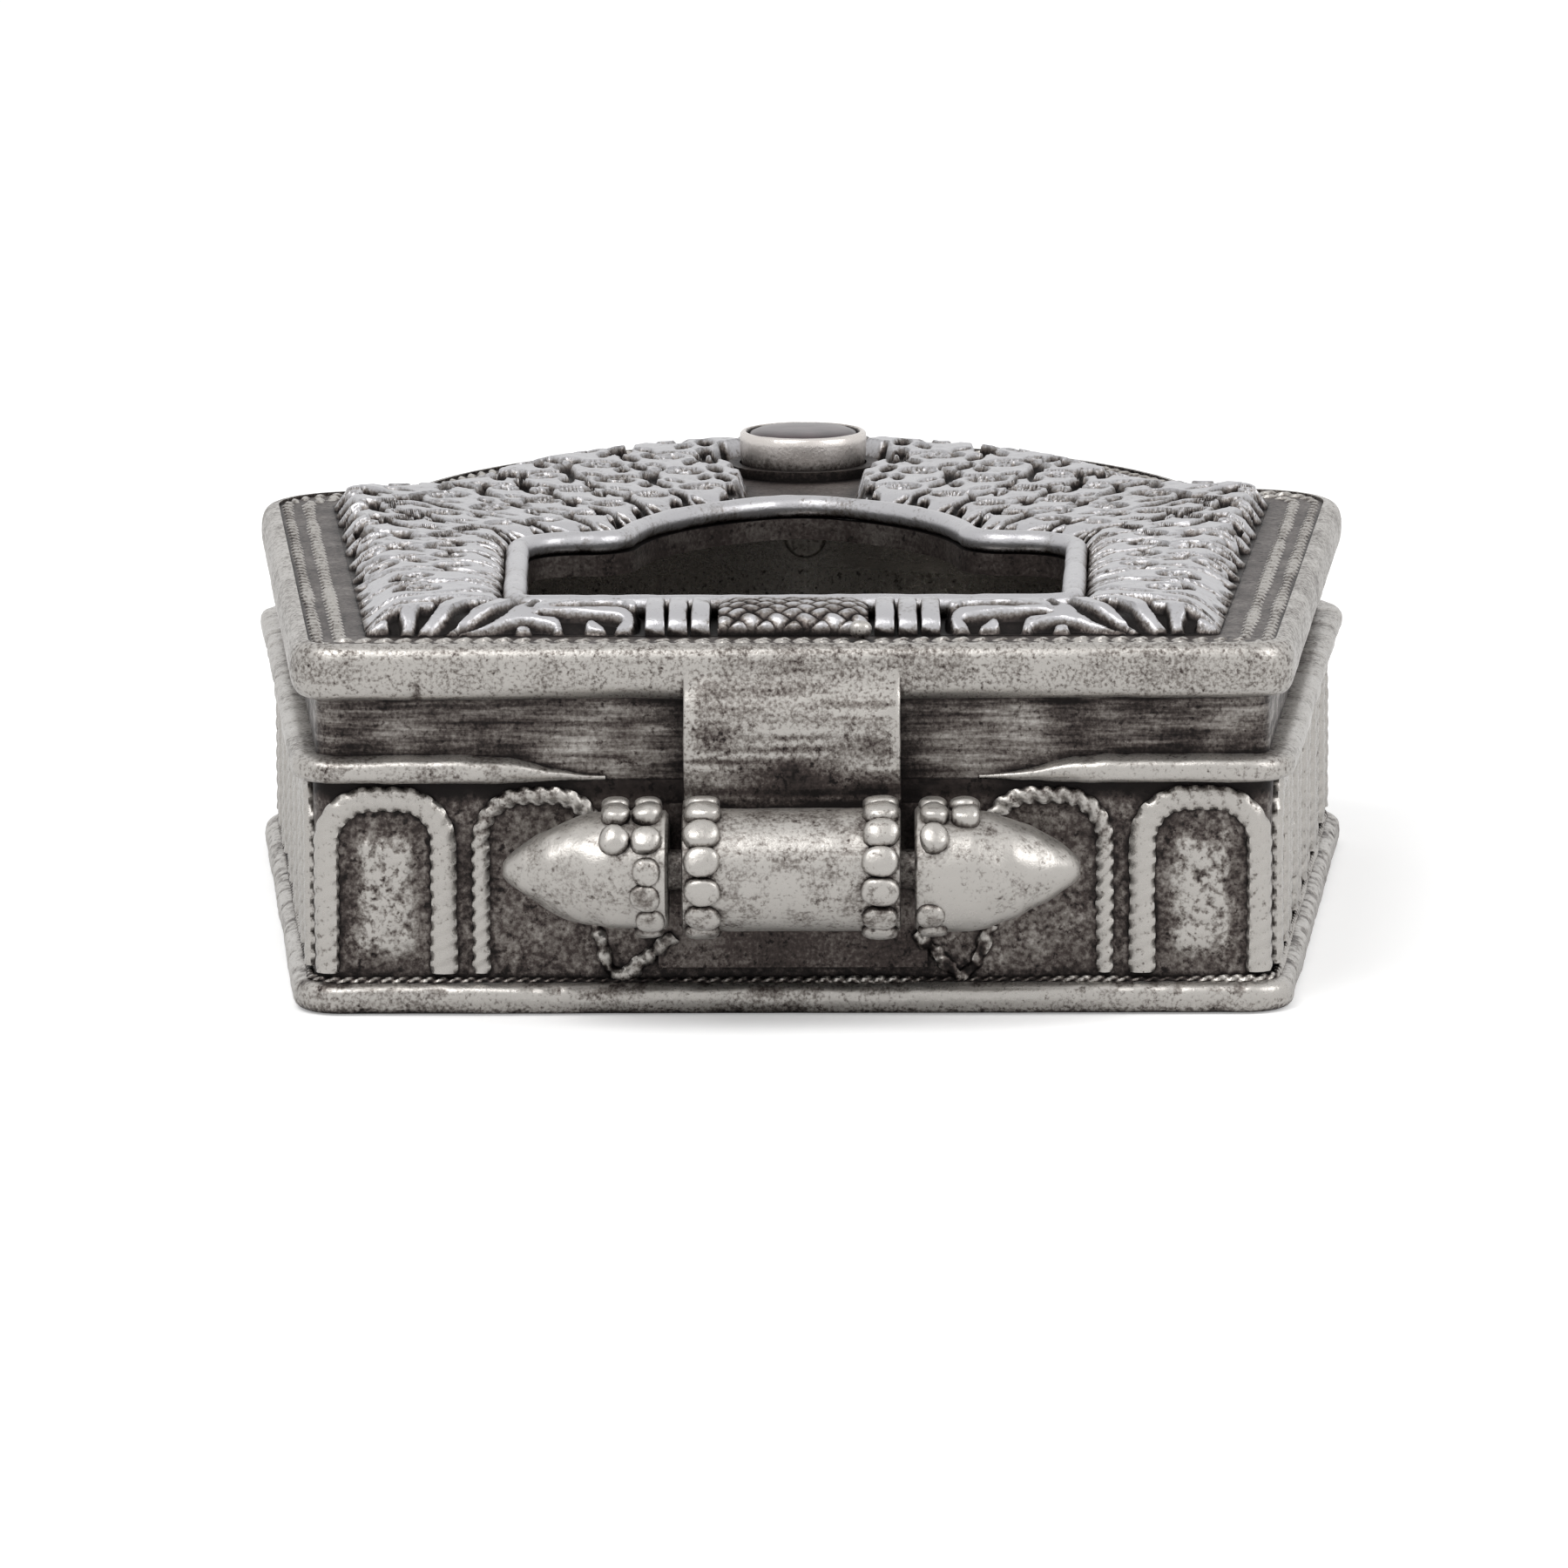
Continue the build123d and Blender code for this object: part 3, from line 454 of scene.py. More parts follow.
def arch_places():
    """Distances along the wall of the arches of each node, the covered ones first."""
    centre_y, radius = head_circle(BOX)
    radius -= WALL_INSET
    top = math.atan2(math.sqrt(radius**2 - BOX.arch_shift**2), BOX.arch_shift)
    foot = [sign * (i + 0.5) * FOOT_ARCH_PITCH for i in (1, 2) for sign in (-1, 1)]
    side = [SIDE_ARCH_START + (i + 0.5) * SIDE_ARCH_PITCH for i in range(SIDE_ARCHES)]
    head_start = HEAD_ARCH_MARGIN + ARCH_WIDTH / 2
    turns = [top - (head_start + i * FOOT_ARCH_PITCH) / radius for i in range(HEAD_ARCHES)]
    head = [(radius * math.cos(a) - BOX.arch_shift, centre_y + radius * math.sin(a)) for a in turns]
    corner_y = BOX.shoulder_y - BOX.shoulder_r
    reach = (BOX.shoulder_r - WALL_INSET) * math.sqrt(0.5)
    head.append((side_x(BOX, BOX.shoulder_r, corner_y) + reach, corner_y + reach))
    right = [WALL_LOOP.nearest(side_x(BOX, WALL_INSET, y), y) for y in side]
    head_right = [WALL_LOOP.nearest(x, y) for x, y in head]
    return {
        "foot_arches": [np.mod(x, WALL_LOOP.length) for x in foot],
        "right_arches": right,
        "left_arches": [WALL_LOOP.length - s for s in right],
        "head_arches": head_right + [WALL_LOOP.length - s for s in head_right],
    }


ARCH_PLACES = arch_places()


def arch_line(height):
    """Line of an arch from foot to foot, in distances along the wall and heights over its own foot."""
    across, up = ARCH_HALF - ARCH_CORNER, height - ARCH_CORNER
    left = arc((-across, up), ARCH_CORNER, math.pi, math.pi / 2, 12)
    right = arc((across, up), ARCH_CORNER, math.pi / 2, 0, 12)
    return np.vstack(([[-ARCH_HALF, 0]], left, right, [[ARCH_HALF, 0]]))


def arch(place, seed, cut):
    """A twisted wire arch. Cut is the side of a covered arch's short leg, -1 or 1, and 0 for the others."""
    radius, waist, spread = COVERED_WIRE if cut else ARCH_WIRE
    foot = BASE_WIRE_TOP - ARCH_SINK
    height = WALL_TOP - ARCH_TOP_GAP - radius - foot
    line = arch_line(height)
    if cut:
        line = line[::-cut]
        line[0, 1] = COVERED_LEG
    length = steps_along(line)[-1]
    beads = round(length / ARCH_PITCH)
    line = resample(line, beads * ROPE_STATIONS + 1)
    plan, normal = WALL_LOOP.at(place + line[:, 0] - cut * COVERED_SHIFT)
    path = np.column_stack((plan + normal * ARCH_PROUD, line[:, 1] + foot))
    out = np.column_stack((normal, np.zeros(len(line))))
    side = np.cross(unit(np.gradient(path, axis=0)), out) * spread
    section, wear = rope_section(np.linspace(0, length, len(line)), radius, length / beads, waist)
    worn = noise(path, 2.2, seed)[:, None]
    section = section * (1 + 0.08 * worn + 0.05 * noise(path, 0.5, seed + 1)[:, None])
    shade = abs(cut) * COVERED_SHADE * smooth((line[:, 1:] - 0.6 * height) / 1.5)
    points = tube(path, out * ARCH_FLATNESS, side, section)
    return Grid(points, 0.8 - shade + 0.3 * wear + 0.25 * worn)


def bracket(points, seed):
    """Lumpy remains of solder where an arch met the hinge."""
    plate_front, plate_half = low("hinge_plate")[1], high("hinge_plate")[0]
    x, z = resample(np.array(points), BRACKET_STATIONS).T
    on_plate = smooth((plate_half + 0.3 - np.abs(x)) / 0.3)
    path = np.column_stack((x, WALL_FRONT + (plate_front - WALL_FRONT) * on_plate, z))
    out = np.tile((0.0, -1.0, 0.0), (BRACKET_STATIONS, 1))
    side = np.cross(unit(np.gradient(path, axis=0)), out)
    radius = np.full((BRACKET_STATIONS, BRACKET_SIDES), BRACKET_RADIUS)
    ring = tube(path, out, side, radius)
    lump = noise(ring, 0.45, 70 + seed)
    fine = noise(ring, 0.2, 75 + seed)
    ring = tube(path, out, side, radius * (1 + 0.45 * lump + 0.25 * fine))
    return Grid(ring, 0.4 + 0.9 * lump + 0.5 * fine)


def add_arches(material):
    """The arcade's wire arches, a piece for each side, with the brackets at the foot."""
    for side, (node, places) in enumerate(ARCH_PLACES.items()):
        cuts = [0] * len(places)
        brackets = []
        if node == "foot_arches":
            cuts[:COVERED_ARCHES] = (1, -1)
            brackets = [bracket(points, seed) for seed, points in enumerate(BRACKETS)]
        arches = [arch(place, 40 + 20 * side + 2 * i, cuts[i]) for i, place in enumerate(places)]
        piece(f"rope_{node}", "box", "worn_silver", material, arches + brackets, node)


def wall_relief(place, z):
    """How far the panels stand out at distances along the wall and heights, from 0 to 1."""
    middles = np.concatenate(list(ARCH_PLACES.values()))[COVERED_ARCHES:]
    half = WALL_LOOP.length / 2
    away = np.abs((place[:, None] - middles[None] + half) % WALL_LOOP.length - half).min(axis=1)
    across = smooth((PANEL_HALF - away) / PANEL_SIDE_RUN)
    upright = smooth((z - PANEL_LOW) / PANEL_END_RUN) * smooth((PANEL_HIGH - z) / PANEL_END_RUN)
    return across[:, None] * upright[None]


def add_side_wall(material):
    """The wall behind the arcade, with a stippled panel inside each arch, painted shade under the moulding,
    and painted light on its inner face.
    """
    z = np.linspace(BACK_TOP, WALL_TOP, WALL_ROWS)
    panel = wall_relief(WALL_LOOP.places, z)
    flat = sweep(WALL_LOOP, np.zeros(WALL_ROWS), z)
    stipple = noise(flat, 0.3, 3)
    grain = noise(flat, 0.8, 5)
    outer = sweep(WALL_LOOP, panel * (PANEL_RISE + 0.1 * stipple) + 0.03 * grain, z)
    inner = sweep(WALL_LOOP, np.full(2, -WALL_THICKNESS), np.array((WALL_TOP, BACK_TOP)))
    # Painted shadow: the wall darkens towards its top, under the moulding
    shadow = smooth((z - WALL_TOP + 1.1) / 0.7)
    wear = panel * (0.36 + 0.45 * stipple) + 0.27 - 0.24 * shadow + 0.06 * grain
    # Painted light: the wall's inner face is painted pale, standing in for light inside the box
    wear = np.hstack((wear, np.full((WALL_LOOP.count, 2), 0.9)))
    wall = Grid(np.hstack((outer, inner)), wear, True)
    piece("side_wall_panels", "box", "dark_silver", material, [wall], "side_wall")


# Flange, moulding, band and rim
FLANGE_ROUND = 1.0
MOULDING_DEPTH = NECK_INSET + 0.05
MOULDING_GAP = 7.6
MOULDING_TAPER = 5.0
MOULDING_SAG = 0.1
MOULDING_LIFT = 0.04
LIP = 0.9
NICK_X = -15.0
NICK_HALF = 0.12
NICK_DEPTH = 0.14
RIM_RADIUS = 0.48
RIM_LIFT = 0.47


def add_base(material):
    """The back plate with its rounded, pitted flange, and the twisted wire on it."""
    loop = Loop(BOX, FLANGE_ROUND, 0.2)
    bulge, z = pillow_section(0.0, BACK_TOP, FLANGE_ROUND, 13, 3.2)
    flat = sweep(loop, bulge, z)
    lump, fine, wear = finish(flat, FLANGE)
    pits = smooth((noise(flat, 0.5, 34) - 0.05) / 0.4) * smooth(z / BACK_TOP - 0.2)
    points = sweep(loop, bulge * (1 + 0.05 * lump + 0.03 * fine - 0.1 * pits), z)
    plate = Grid(points.swapaxes(0, 1), (wear - 0.5 * pits).T)
    piece("flanged_back", "box", "worn_silver", material, [plate], "back_plate")
    wire = loop_rope(WALL_INSET - BASE_OUT, BACK_TOP + BASE_LIFT, BASE_RADIUS, BASE_PITCH, 33, BASE_LOSS)
    piece("twisted_base_wire", "box", "worn_silver", material, [wire], "base_wire")


def add_moulding(material):
    """The half-round moulding over the arcade, open where the hinge strap passes and thinner at its ends."""
    loop = Loop(BOX, NECK_INSET, 0.3)
    foot, top = WALL_TOP - MOULDING_SAG, MOULDING_TOP + MOULDING_LIFT
    bulge, z = pillow_section(foot, top, MOULDING_DEPTH, 13, 3.0)
    start = loop.nearest(MOULDING_GAP, NECK_INSET)
    stations = np.linspace(start, loop.length - start, loop.count)
    plan, normal = loop.at(stations)
    lump, fine, wear = finish(raised(plan, normal, np.zeros(len(z)), z), MOULDING)
    end = np.minimum(stations - stations[0], stations[-1] - stations)
    taper = smooth(end / MOULDING_TAPER)[:, None]
    outset = bulge * (0.1 + 0.9 * taper) * (1 + 0.07 * lump + 0.04 * fine)
    heights = WALL_TOP + (z - WALL_TOP) * (0.15 + 0.85 * taper) + 0.04 * fine
    moulding = Grid(raised(plan, normal, outset, heights), wear)
    piece("worn_moulding", "box", "worn_silver", material, [moulding], "shoulder_moulding")


def add_band(material):
    """The lid's plain rounded band, dented, with a wavy lower lip and one deep nick."""
    loop = Loop(BOX, BAND_THICKNESS, 0.3)
    bulge, z = pillow_section(BAND_FOOT, BAND_TOP, BAND_THICKNESS, 15)
    flat = sweep(loop, bulge, z)
    lump, fine, wear = finish(flat, BAND)
    lip = smooth((BAND_FOOT + LIP - z) / LIP)
    nick = np.exp(-((loop.points[:, 0] - NICK_X) / NICK_HALF) ** 2) * (loop.points[:, 1] < FOOT_Y + 2)
    nick = nick[:, None] * smooth((BAND_FOOT + 1.1 - z) / 0.8)
    outset = bulge * (1 + 0.05 * lump + 0.025 * fine) - NICK_DEPTH * nick
    worn_z = z + lip * (0.07 * noise(flat, 3.2, 13) + 0.03 * fine)
    band = Grid(sweep(loop, outset, worn_z), wear + 0.2 * lip - 0.5 * nick, True)
    piece("worn_lid_band", "lid", "worn_silver", material, [band], "lid_band")


def add_window_rim(material):
    """The round wire about the window, worn uneven."""
    loop = Loop(WINDOW, -RIM_WIDTH / 2, 0.22)
    angle = circle(14)
    lump, fine, wear = finish(np.column_stack((loop.points, np.full(loop.count, LID_TOP))), RIM)
    radius = RIM_RADIUS * (1 + 0.05 * lump + 0.04 * fine)[:, None]
    points = sweep(loop, radius * np.cos(angle), LID_TOP + RIM_LIFT + radius * np.sin(angle))
    rim = Grid(points, wear[:, None] + 0.15 * np.sin(angle), True)
    piece("worn_window_rim", "lid", "worn_silver", material, [rim], "window_rim")


# Scrollwork is drawn on a fine raster of the lid's plane, then raised on the frame
RASTER = 0.05
RASTER_LOW = np.array((-21.5, 1.0))
RASTER_HIGH = np.array((21.5, 55.0))
STROKE_EDGE = 0.12
STROKE_STEP = 0.09


class Drawing:
    """A raster of the frame's plan: 1 where the scrollwork stands, 0 where it is cut away."""

    def __init__(self):
        self.mask = np.zeros(((RASTER_HIGH - RASTER_LOW) / RASTER).astype(int) + 1)
        self.x, self.y = (a + RASTER * np.arange(n) for a, n in zip(RASTER_LOW, self.mask.shape))

    def fill_beyond(self, line):
        """Fills all that lies beyond a line of x and y, on both sides of the middle."""
        edge = np.interp(np.abs(self.x), *np.transpose(line))
        np.maximum(self.mask, smooth((self.y[None] - edge[:, None]) / STROKE_EDGE), out=self.mask)

    def near(self, points, widths):
        """Parts of the raster round a line and its mirror image, with each place's distance from the edge."""
        count = max(int(steps_along(points)[-1] / STROKE_STEP), 6)
        half = np.interp(np.linspace(0, 1, count), np.linspace(0, 1, len(widths)), widths)
        reach = max(widths) + STROKE_EDGE + RASTER
        for sign in (-1, 1):
            line = resample(points * (sign, 1), count)
            start = np.floor((line.min(0) - reach - RASTER_LOW) / RASTER).astype(int)
            stop = np.ceil((line.max(0) + reach - RASTER_LOW) / RASTER).astype(int) + 1
            part = tuple(slice(max(a, 0), max(b, 0)) for a, b in zip(start, stop))
            x, y = self.x[part[0]], self.y[part[1]]
            away = np.full((len(x), len(y)), reach)
            for (px, py), w in zip(line, half):
                np.minimum(away, np.sqrt((x[:, None] - px) ** 2 + (y[None] - py) ** 2) - w, out=away)
            yield self.mask[part], away

    def stroke(self, points, widths):
        """Draws a stroke and its mirror image, with half-widths along it."""
        for part, away in self.near(points, widths):
            np.maximum(part, smooth(-away / STROKE_EDGE), out=part)

    def cut(self, points, widths):
        """Cuts a slit and its mirror image, with half-widths along it."""
        for part, away in self.near(points, widths):
            np.multiply(part, smooth(away / STROKE_EDGE), out=part)

    def sample(self, x, y):
        """Values at places of the plan."""
        u = np.clip((x - RASTER_LOW[0]) / RASTER, 0, self.mask.shape[0] - 2)
        v = np.clip((y - RASTER_LOW[1]) / RASTER, 0, self.mask.shape[1] - 2)
        i, j = u.astype(int), v.astype(int)
        fu, fv = u - i, v - j
        low_row = self.mask[i, j] * (1 - fu) + self.mask[i + 1, j] * fu
        high_row = self.mask[i, j + 1] * (1 - fu) + self.mask[i + 1, j + 1] * fu
        return low_row * (1 - fv) + high_row * fv


def curve(*points, count=24):
    """A smooth line through a few points."""
    p = np.array(points, float)
    p = np.vstack((2 * p[0] - p[1], p, 2 * p[-1] - p[-2]))
    t = np.linspace(0, 1, count)[:, None]
    out = []
    for a, b, c, d in zip(p[:-3], p[1:-2], p[2:-1], p[3:]):
        square, cube = 2 * a - 5 * b + 4 * c - d, 3 * b - a - 3 * c + d
        out.append(0.5 * (2 * b + (c - a) * t + square * t**2 + cube * t**3))
    return np.vstack(out)


def volute(centre, radius, start, turns, hand, tail):
    """A spiral that winds inwards, with a straight tail before it."""
    angle = np.linspace(0, turns * 2 * math.pi, 70)
    r = radius * (1 - 0.86 * (angle / angle[-1]) ** 0.8)
    theta = math.radians(start) + hand * angle
    line = np.column_stack((centre[0] + r * np.cos(theta), centre[1] + r * np.sin(theta)))
    back = np.array((math.sin(theta[0]), -math.cos(theta[0]))) * hand * tail
    return np.vstack((curve(line[0] + back, line[0] + back / 2, line[0]), line[1:]))


# The frame's main grooves, and half-widths of the cuts between them
GROOVE_PITCH = 3.9
GROOVE_BOW = 0.6
GROOVE_SLANT = 1.5
FOOT_GROOVE_SLANT = 2.4
FRAME_OPEN = 6.21
SLIT = (0.05, 0.28, 0.34, 0.22, 0.04)
SLIT_LENGTH = 2.7
SLIT_SHARE = 0.78
LEAF = (0.04, 0.22, 0.26, 0.16, 0.04)
VOLUTE = (0.04, 0.16, 0.22, 0.2, 0.18, 0.14, 0.16)
VOLUTE_RADIUS = 1.45
VOLUTE_PITCH = 4.2
VOLUTE_TURNS = 1.35
VOLUTE_TAIL = 1.4
NOTCH = (0.5, 0.3, 0.04)
LEAST_NARROWING = 0.45

# Openwork of the frieze at the foot, right half: each stroke's places, as x and distance from the
# frame's outer edge, and its half-widths
FRIEZE = (
    (((6.85, 0.2), (6.62, 0.68), (6.85, 1.12), (7.65, 1.27), (8.9, 1.24), (9.9, 1.34), (10.7, 1.1)),
     (0.3, 0.28, 0.24, 0.2, 0.2, 0.22)),
    (((6.5, 1.8), (6.85, 2.6), (7.8, 3.1), (8.9, 3.05), (9.85, 2.3), (10.55, 1.5), (11.2, 1.0)),
     (0.26, 0.45, 0.6, 0.6, 0.45, 0.32)),
    (((7.65, 0.25), (8.1, 0.45)), (0.15, 0.26)),
    (((9.43, 0.26), (9.55, 0.57), (10.05, 0.73), (10.7, 0.83), (11.4, 0.77)), (0.2, 0.22, 0.2, 0.2, 0.25)),
    (((10.7, 0.2), (10.95, 0.22)), (0.2, 0.2)),
    (((10.1, 4.3), (10.45, 2.2), (10.9, 1.2), (11.45, 0.78), (12.0, 0.5), (12.7, 0.26), (13.3, 0.1)),
     (0.45, 0.34, 0.26, 0.2, 0.18, 0.15)),
    (((11.4, 4.3), (11.7, 2.9), (12.25, 1.66), (12.9, 0.88), (13.5, 0.36), (13.9, 0.1)),
     (0.45, 0.4, 0.32, 0.26, 0.2)),
    (((12.5, 3.0), (13.3, 3.15), (13.9, 1.87), (14.1, 1.12), (14.45, 0.55), (14.85, 0.1)),
     (0.34, 0.4, 0.36, 0.33, 0.28, 0.22)),
    (((14.65, 1.86), (15.25, 1.8), (15.48, 1.1), (15.5, 0.55), (15.6, 0.05)), (0.22, 0.36, 0.37, 0.35, 0.3)),
    (((15.4, 1.75), (16.25, 1.38), (16.9, 1.04), (17.3, 0.6), (17.05, 0.38), (16.45, 0.5)),
     (0.22, 0.2, 0.2, 0.18, 0.16, 0.2)),
)
FRIEZE_SWELL = 0.05

# Slits that part those strokes, written in the same way
FRIEZE_SLITS = (
    (((9.95, 3.86), (10.6, 1.5)), (0.1, 0.05)),
    (((10.9, 3.9), (11.35, 1.75), (12.0, 0.85), (12.75, 0.4), (13.4, 0.2)), (0.12, 0.14, 0.12, 0.1, 0.06)),
    (((12.55, 2.9), (13.0, 1.5), (13.6, 0.6), (14.2, 0.05)), (0.08, 0.14, 0.14, 0.1)),
    (((16.0, 0.0), (16.0, 0.6), (16.35, 0.9), (16.85, 0.7)), (0.2, 0.2, 0.16, 0.06)),
    (((7.0, 2.1), (7.9, 1.75), (9.7, 1.6)), (0.12, 0.14, 0.05)),
    (((7.3, 0.75), (8.5, 0.95), (10.1, 1.0)), (0.1, 0.14, 0.08)),
)

# Where the frieze gives way to the closed scrollwork: x and distance from the frame's outer edge
FRIEZE_EDGE = (
    (5.0, 4.1), (11.0, 4.1), (13.1, 3.9), (14.5, 3.6), (15.7, 2.8), (16.7, 1.75), (17.6, 0.9), (22.0, 0.0),
)
FRAME_OUTER = Loop(BOX, FRAME_INSET, 0.2)
FRAME_INNER = Loop(WINDOW, -RIM_WIDTH, 0.2)


def foot_groove_ends():
    """Outer and inner ends of the grooves across the frame's foot, right half."""
    count = int((BOX.foot_half - FRAME_INSET - FRAME_OPEN) // GROOVE_PITCH)
    places = [FRAME_OPEN + (i + 1) * GROOVE_PITCH for i in range(count)]
    return [((x, FRAME_INSET), (x - FOOT_GROOVE_SLANT, FRAME_FOOT)) for x in places]


def side_groove_ends():
    """Outer and inner ends of the grooves across the frame's right side."""
    first = WINDOW.foot_y - GROOVE_SLANT
    count = int((BOX.shoulder_y - BOX.shoulder_r - FRAME_INSET / 2 - first) // GROOVE_PITCH)
    outer_y = first + GROOVE_PITCH * np.arange(count + 1)
    inner_y = np.linspace(WINDOW.foot_y + GROOVE_SLANT, WINDOW.shoulder_y, count + 1)
    outer = [(side_x(BOX, FRAME_INSET, y), y) for y in outer_y]
    return list(zip(outer, [(side_x(WINDOW, -RIM_WIDTH, y), y) for y in inner_y]))


def head_groove_ends():
    """Outer and inner ends of the grooves across the right half of the frame's head."""
    lines = []
    for shape, inset in ((BOX, FRAME_INSET), (WINDOW, -RIM_WIDTH)):
        centre_y, radius = head_circle(shape)
        radius -= inset
        start = math.asin((shape.shoulder_y - inset - centre_y) / radius)
        apex = math.sqrt(radius**2 - shape.arch_shift**2)
        lines.append(((-shape.arch_shift, centre_y), radius, start, math.atan2(apex, shape.arch_shift)))
    count = int(lines[0][1] * (lines[0][3] - lines[0][2]) // GROOVE_PITCH)
    return list(zip(*[arc(*line, count + 1)[:-1] for line in lines]))


def groove_places():
    """Distances along the frame's outer and inner edges where its grooves start and end, right half."""
    ends = [((FRAME_OPEN, FRAME_INSET), (FRAME_OPEN, FRAME_FOOT))]
    ends += foot_groove_ends() + side_groove_ends() + head_groove_ends()
    outer = [FRAME_OUTER.nearest(*start) for start, _ in ends]
    inner = [FRAME_INNER.nearest(*stop) for _, stop in ends]
    return np.array(outer + [FRAME_OUTER.length / 2]), np.array(inner + [FRAME_INNER.length / 2])


OUTER_PLACES, INNER_PLACES = groove_places()
FIRST_PANEL = len(foot_groove_ends()) + 1


def on_frame(panel, share):
    """Plan points at places counted in panels between grooves, and shares of the way to the window."""
    panel, share = np.broadcast_arrays(panel, np.clip(share, -0.05, 1.05))
    count = np.arange(len(OUTER_PLACES))
    outer, _ = FRAME_OUTER.at(np.interp(panel, count, OUTER_PLACES))
    inner, _ = FRAME_INNER.at(np.interp(panel, count, INNER_PLACES))
    along = inner - outer
    across = unit(np.column_stack((-along[:, 1], along[:, 0])))
    share = share[:, None]
    return outer + along * share + across * GROOVE_BOW * 4 * share * (1 - share) - (0, FOOT_Y)


def cell_size(panel, share):
    """Distance between two places on the frame."""
    ends = on_frame(panel, share)
    return np.linalg.norm(ends[1] - ends[0])


def narrowed(widths, edges, share):
    """Half-widths of a cut, less where the cell between two edges is narrow."""
    return np.array(widths) * np.clip(cell_size(edges, share) / GROOVE_PITCH, LEAST_NARROWING, 1.0)


def cut_groove(drawing, edges):
    """A chain of slits along the first edge of a cell, with a notch at the window."""
    place = edges[0]
    slits = max(int(round(cell_size(place, (0, 1)) / SLIT_LENGTH)), 2)
    along = np.linspace(0, 1, 14)
    for i in range(slits):
        line = on_frame(place, i / slits - 0.02 + along * SLIT_SHARE / slits)
        drawing.cut(line, narrowed(SLIT, edges, (i + 0.5) / slits))
    drawing.cut(on_frame(place, np.linspace(1.02, 0.94, 8)), narrowed(NOTCH, edges, 1.0))


def cut_volute(drawing, edges, share, hand):
    """A spiral slit in the middle of a cell, whose stem comes from the window's side."""
    centre, inner = on_frame(np.mean(edges), (share, share + 0.02))
    x, y = (inner - centre) * hand
    radius = min(VOLUTE_RADIUS, 0.45 * cell_size(edges, share) - 0.3)
    start = math.degrees(math.atan2(x, -y))
    line = volute(centre, radius, start, VOLUTE_TURNS, hand, VOLUTE_TAIL * radius)
    drawing.cut(line, narrowed(VOLUTE, edges, share))


def cut_cell(drawing, edges, hand):
    """A groove, and behind it a row of volutes with leaves between them."""
    cut_groove(drawing, edges)
    centre, step = np.mean(edges), edges[1] - edges[0]
    count = max(int(round(cell_size(centre, (0, 1)) / VOLUTE_PITCH)), 1)
    along = np.linspace(0, 1, 12)
    for i in range(count):
        cut_volute(drawing, edges, (i + 0.4) / count, hand * (-1) ** i)
        for side in (-1, 1):
            place = centre + step * side * (0.3 - 0.12 * along)
            leaf = on_frame(place, np.linspace(i + 0.74, i + 1.02, 12) / count)
            drawing.cut(leaf, narrowed(LEAF, edges, (i + 0.88) / count))
    for place in (0.25, 0.75):
        drawing.cut(on_frame(edges[0] + place * step, np.linspace(-0.02, 0.06, 8)), NOTCH)


def frieze_line(points):
    """A smooth line of the frieze on the frame's plan."""
    return curve(*[(x, FRAME_INSET + d) for x, d in points], count=10)


def draw_scrolls():
    """The frame's scrollwork: slits between its grooves, and the openwork frieze at the foot."""
    drawing = Drawing()
    drawing.fill_beyond([(x, FRAME_INSET + d) for x, d in FRIEZE_EDGE])
    for panel in range(FIRST_PANEL, len(OUTER_PLACES) - 1):
        cells = max(int(round(cell_size((panel, panel + 1), 0.1) / GROOVE_PITCH)), 1)
        edges = panel + np.arange(cells + 1) / cells
        for i in range(cells):
            cut_cell(drawing, edges[i:i + 2], (-1) ** (panel + i))
    for points, widths in FRIEZE:
        drawing.stroke(frieze_line(points), np.array(widths) + FRIEZE_SWELL)
    for points, widths in FRIEZE_SLITS:
        drawing.cut(frieze_line(points), widths)
    return drawing


# The frame's swelling, and the ground that it leaves clear below the stone
OUTER_SLOPE = 2.2
INNER_SLOPE = 2.2
SEAT_RADIUS = 3.9
APRON_HALF = 2.7
CARVING_DEPTH = 0.5
RUN_STATIONS = (180, 290, 120, 230)
FRAME_COLUMNS = 116


def with_skirt(points):
    """A relief on the lid, with its two long edges brought down to the plate."""
    skirt = points[:, [0, -1]]
    skirt[..., 2] = LID_TOP
    return np.concatenate((skirt[:, :1], points, skirt[:, 1:]), axis=1)


def ring_half(outer, inner):
    """Grid of plan points on the right half between two shrines, matched run by run."""
    edges = []
    for runs in (outer, inner):
        rows = [resample(run, count)[min(i, 1):] for i, (run, count) in enumerate(zip(runs, RUN_STATIONS))]
        edges.append(np.vstack(rows)[:, None])
    share = np.linspace(0, 1, FRAME_COLUMNS)[None, :, None]
    share = share - 0.06 * np.sin(2 * math.pi * share)
    return edges[0] * (1 - share) + edges[1] * share


def frame_height(plan):
    """Height of the frame's swelling over the lid at a ring grid of plan points."""
    d_out = np.linalg.norm(plan - plan[:, :1], axis=-1)
    d_in = np.linalg.norm(plan - plan[:, -1:], axis=-1)
    rise = 0.1 + 0.9 * np.sin(math.pi / 2 * np.clip(d_out / OUTER_SLOPE, 0, 1))
    dome = CREST * np.minimum(rise, 0.12 + 0.88 * pillow(d_in, INNER_SLOPE))
    x, y = plan[..., 0], plan[..., 1]
    opening = smooth((np.abs(x) - FRAME_OPEN + 0.1) / 0.2)
    dome = np.where(y < WINDOW.foot_y + 0.2, dome * opening, dome)
    stone_y = CUP_MIDDLE[1] - FOOT_Y
    reach = APRON_HALF + (SEAT_RADIUS - APRON_HALF) * smooth((y - stone_y + 6) / 4)
    seat = np.hypot(x, np.maximum(y - stone_y, 0))
    clear = smooth((seat - reach + 0.4) / 0.5)
    return np.where(y > WINDOW.apex_y - 2, dome * clear, dome)


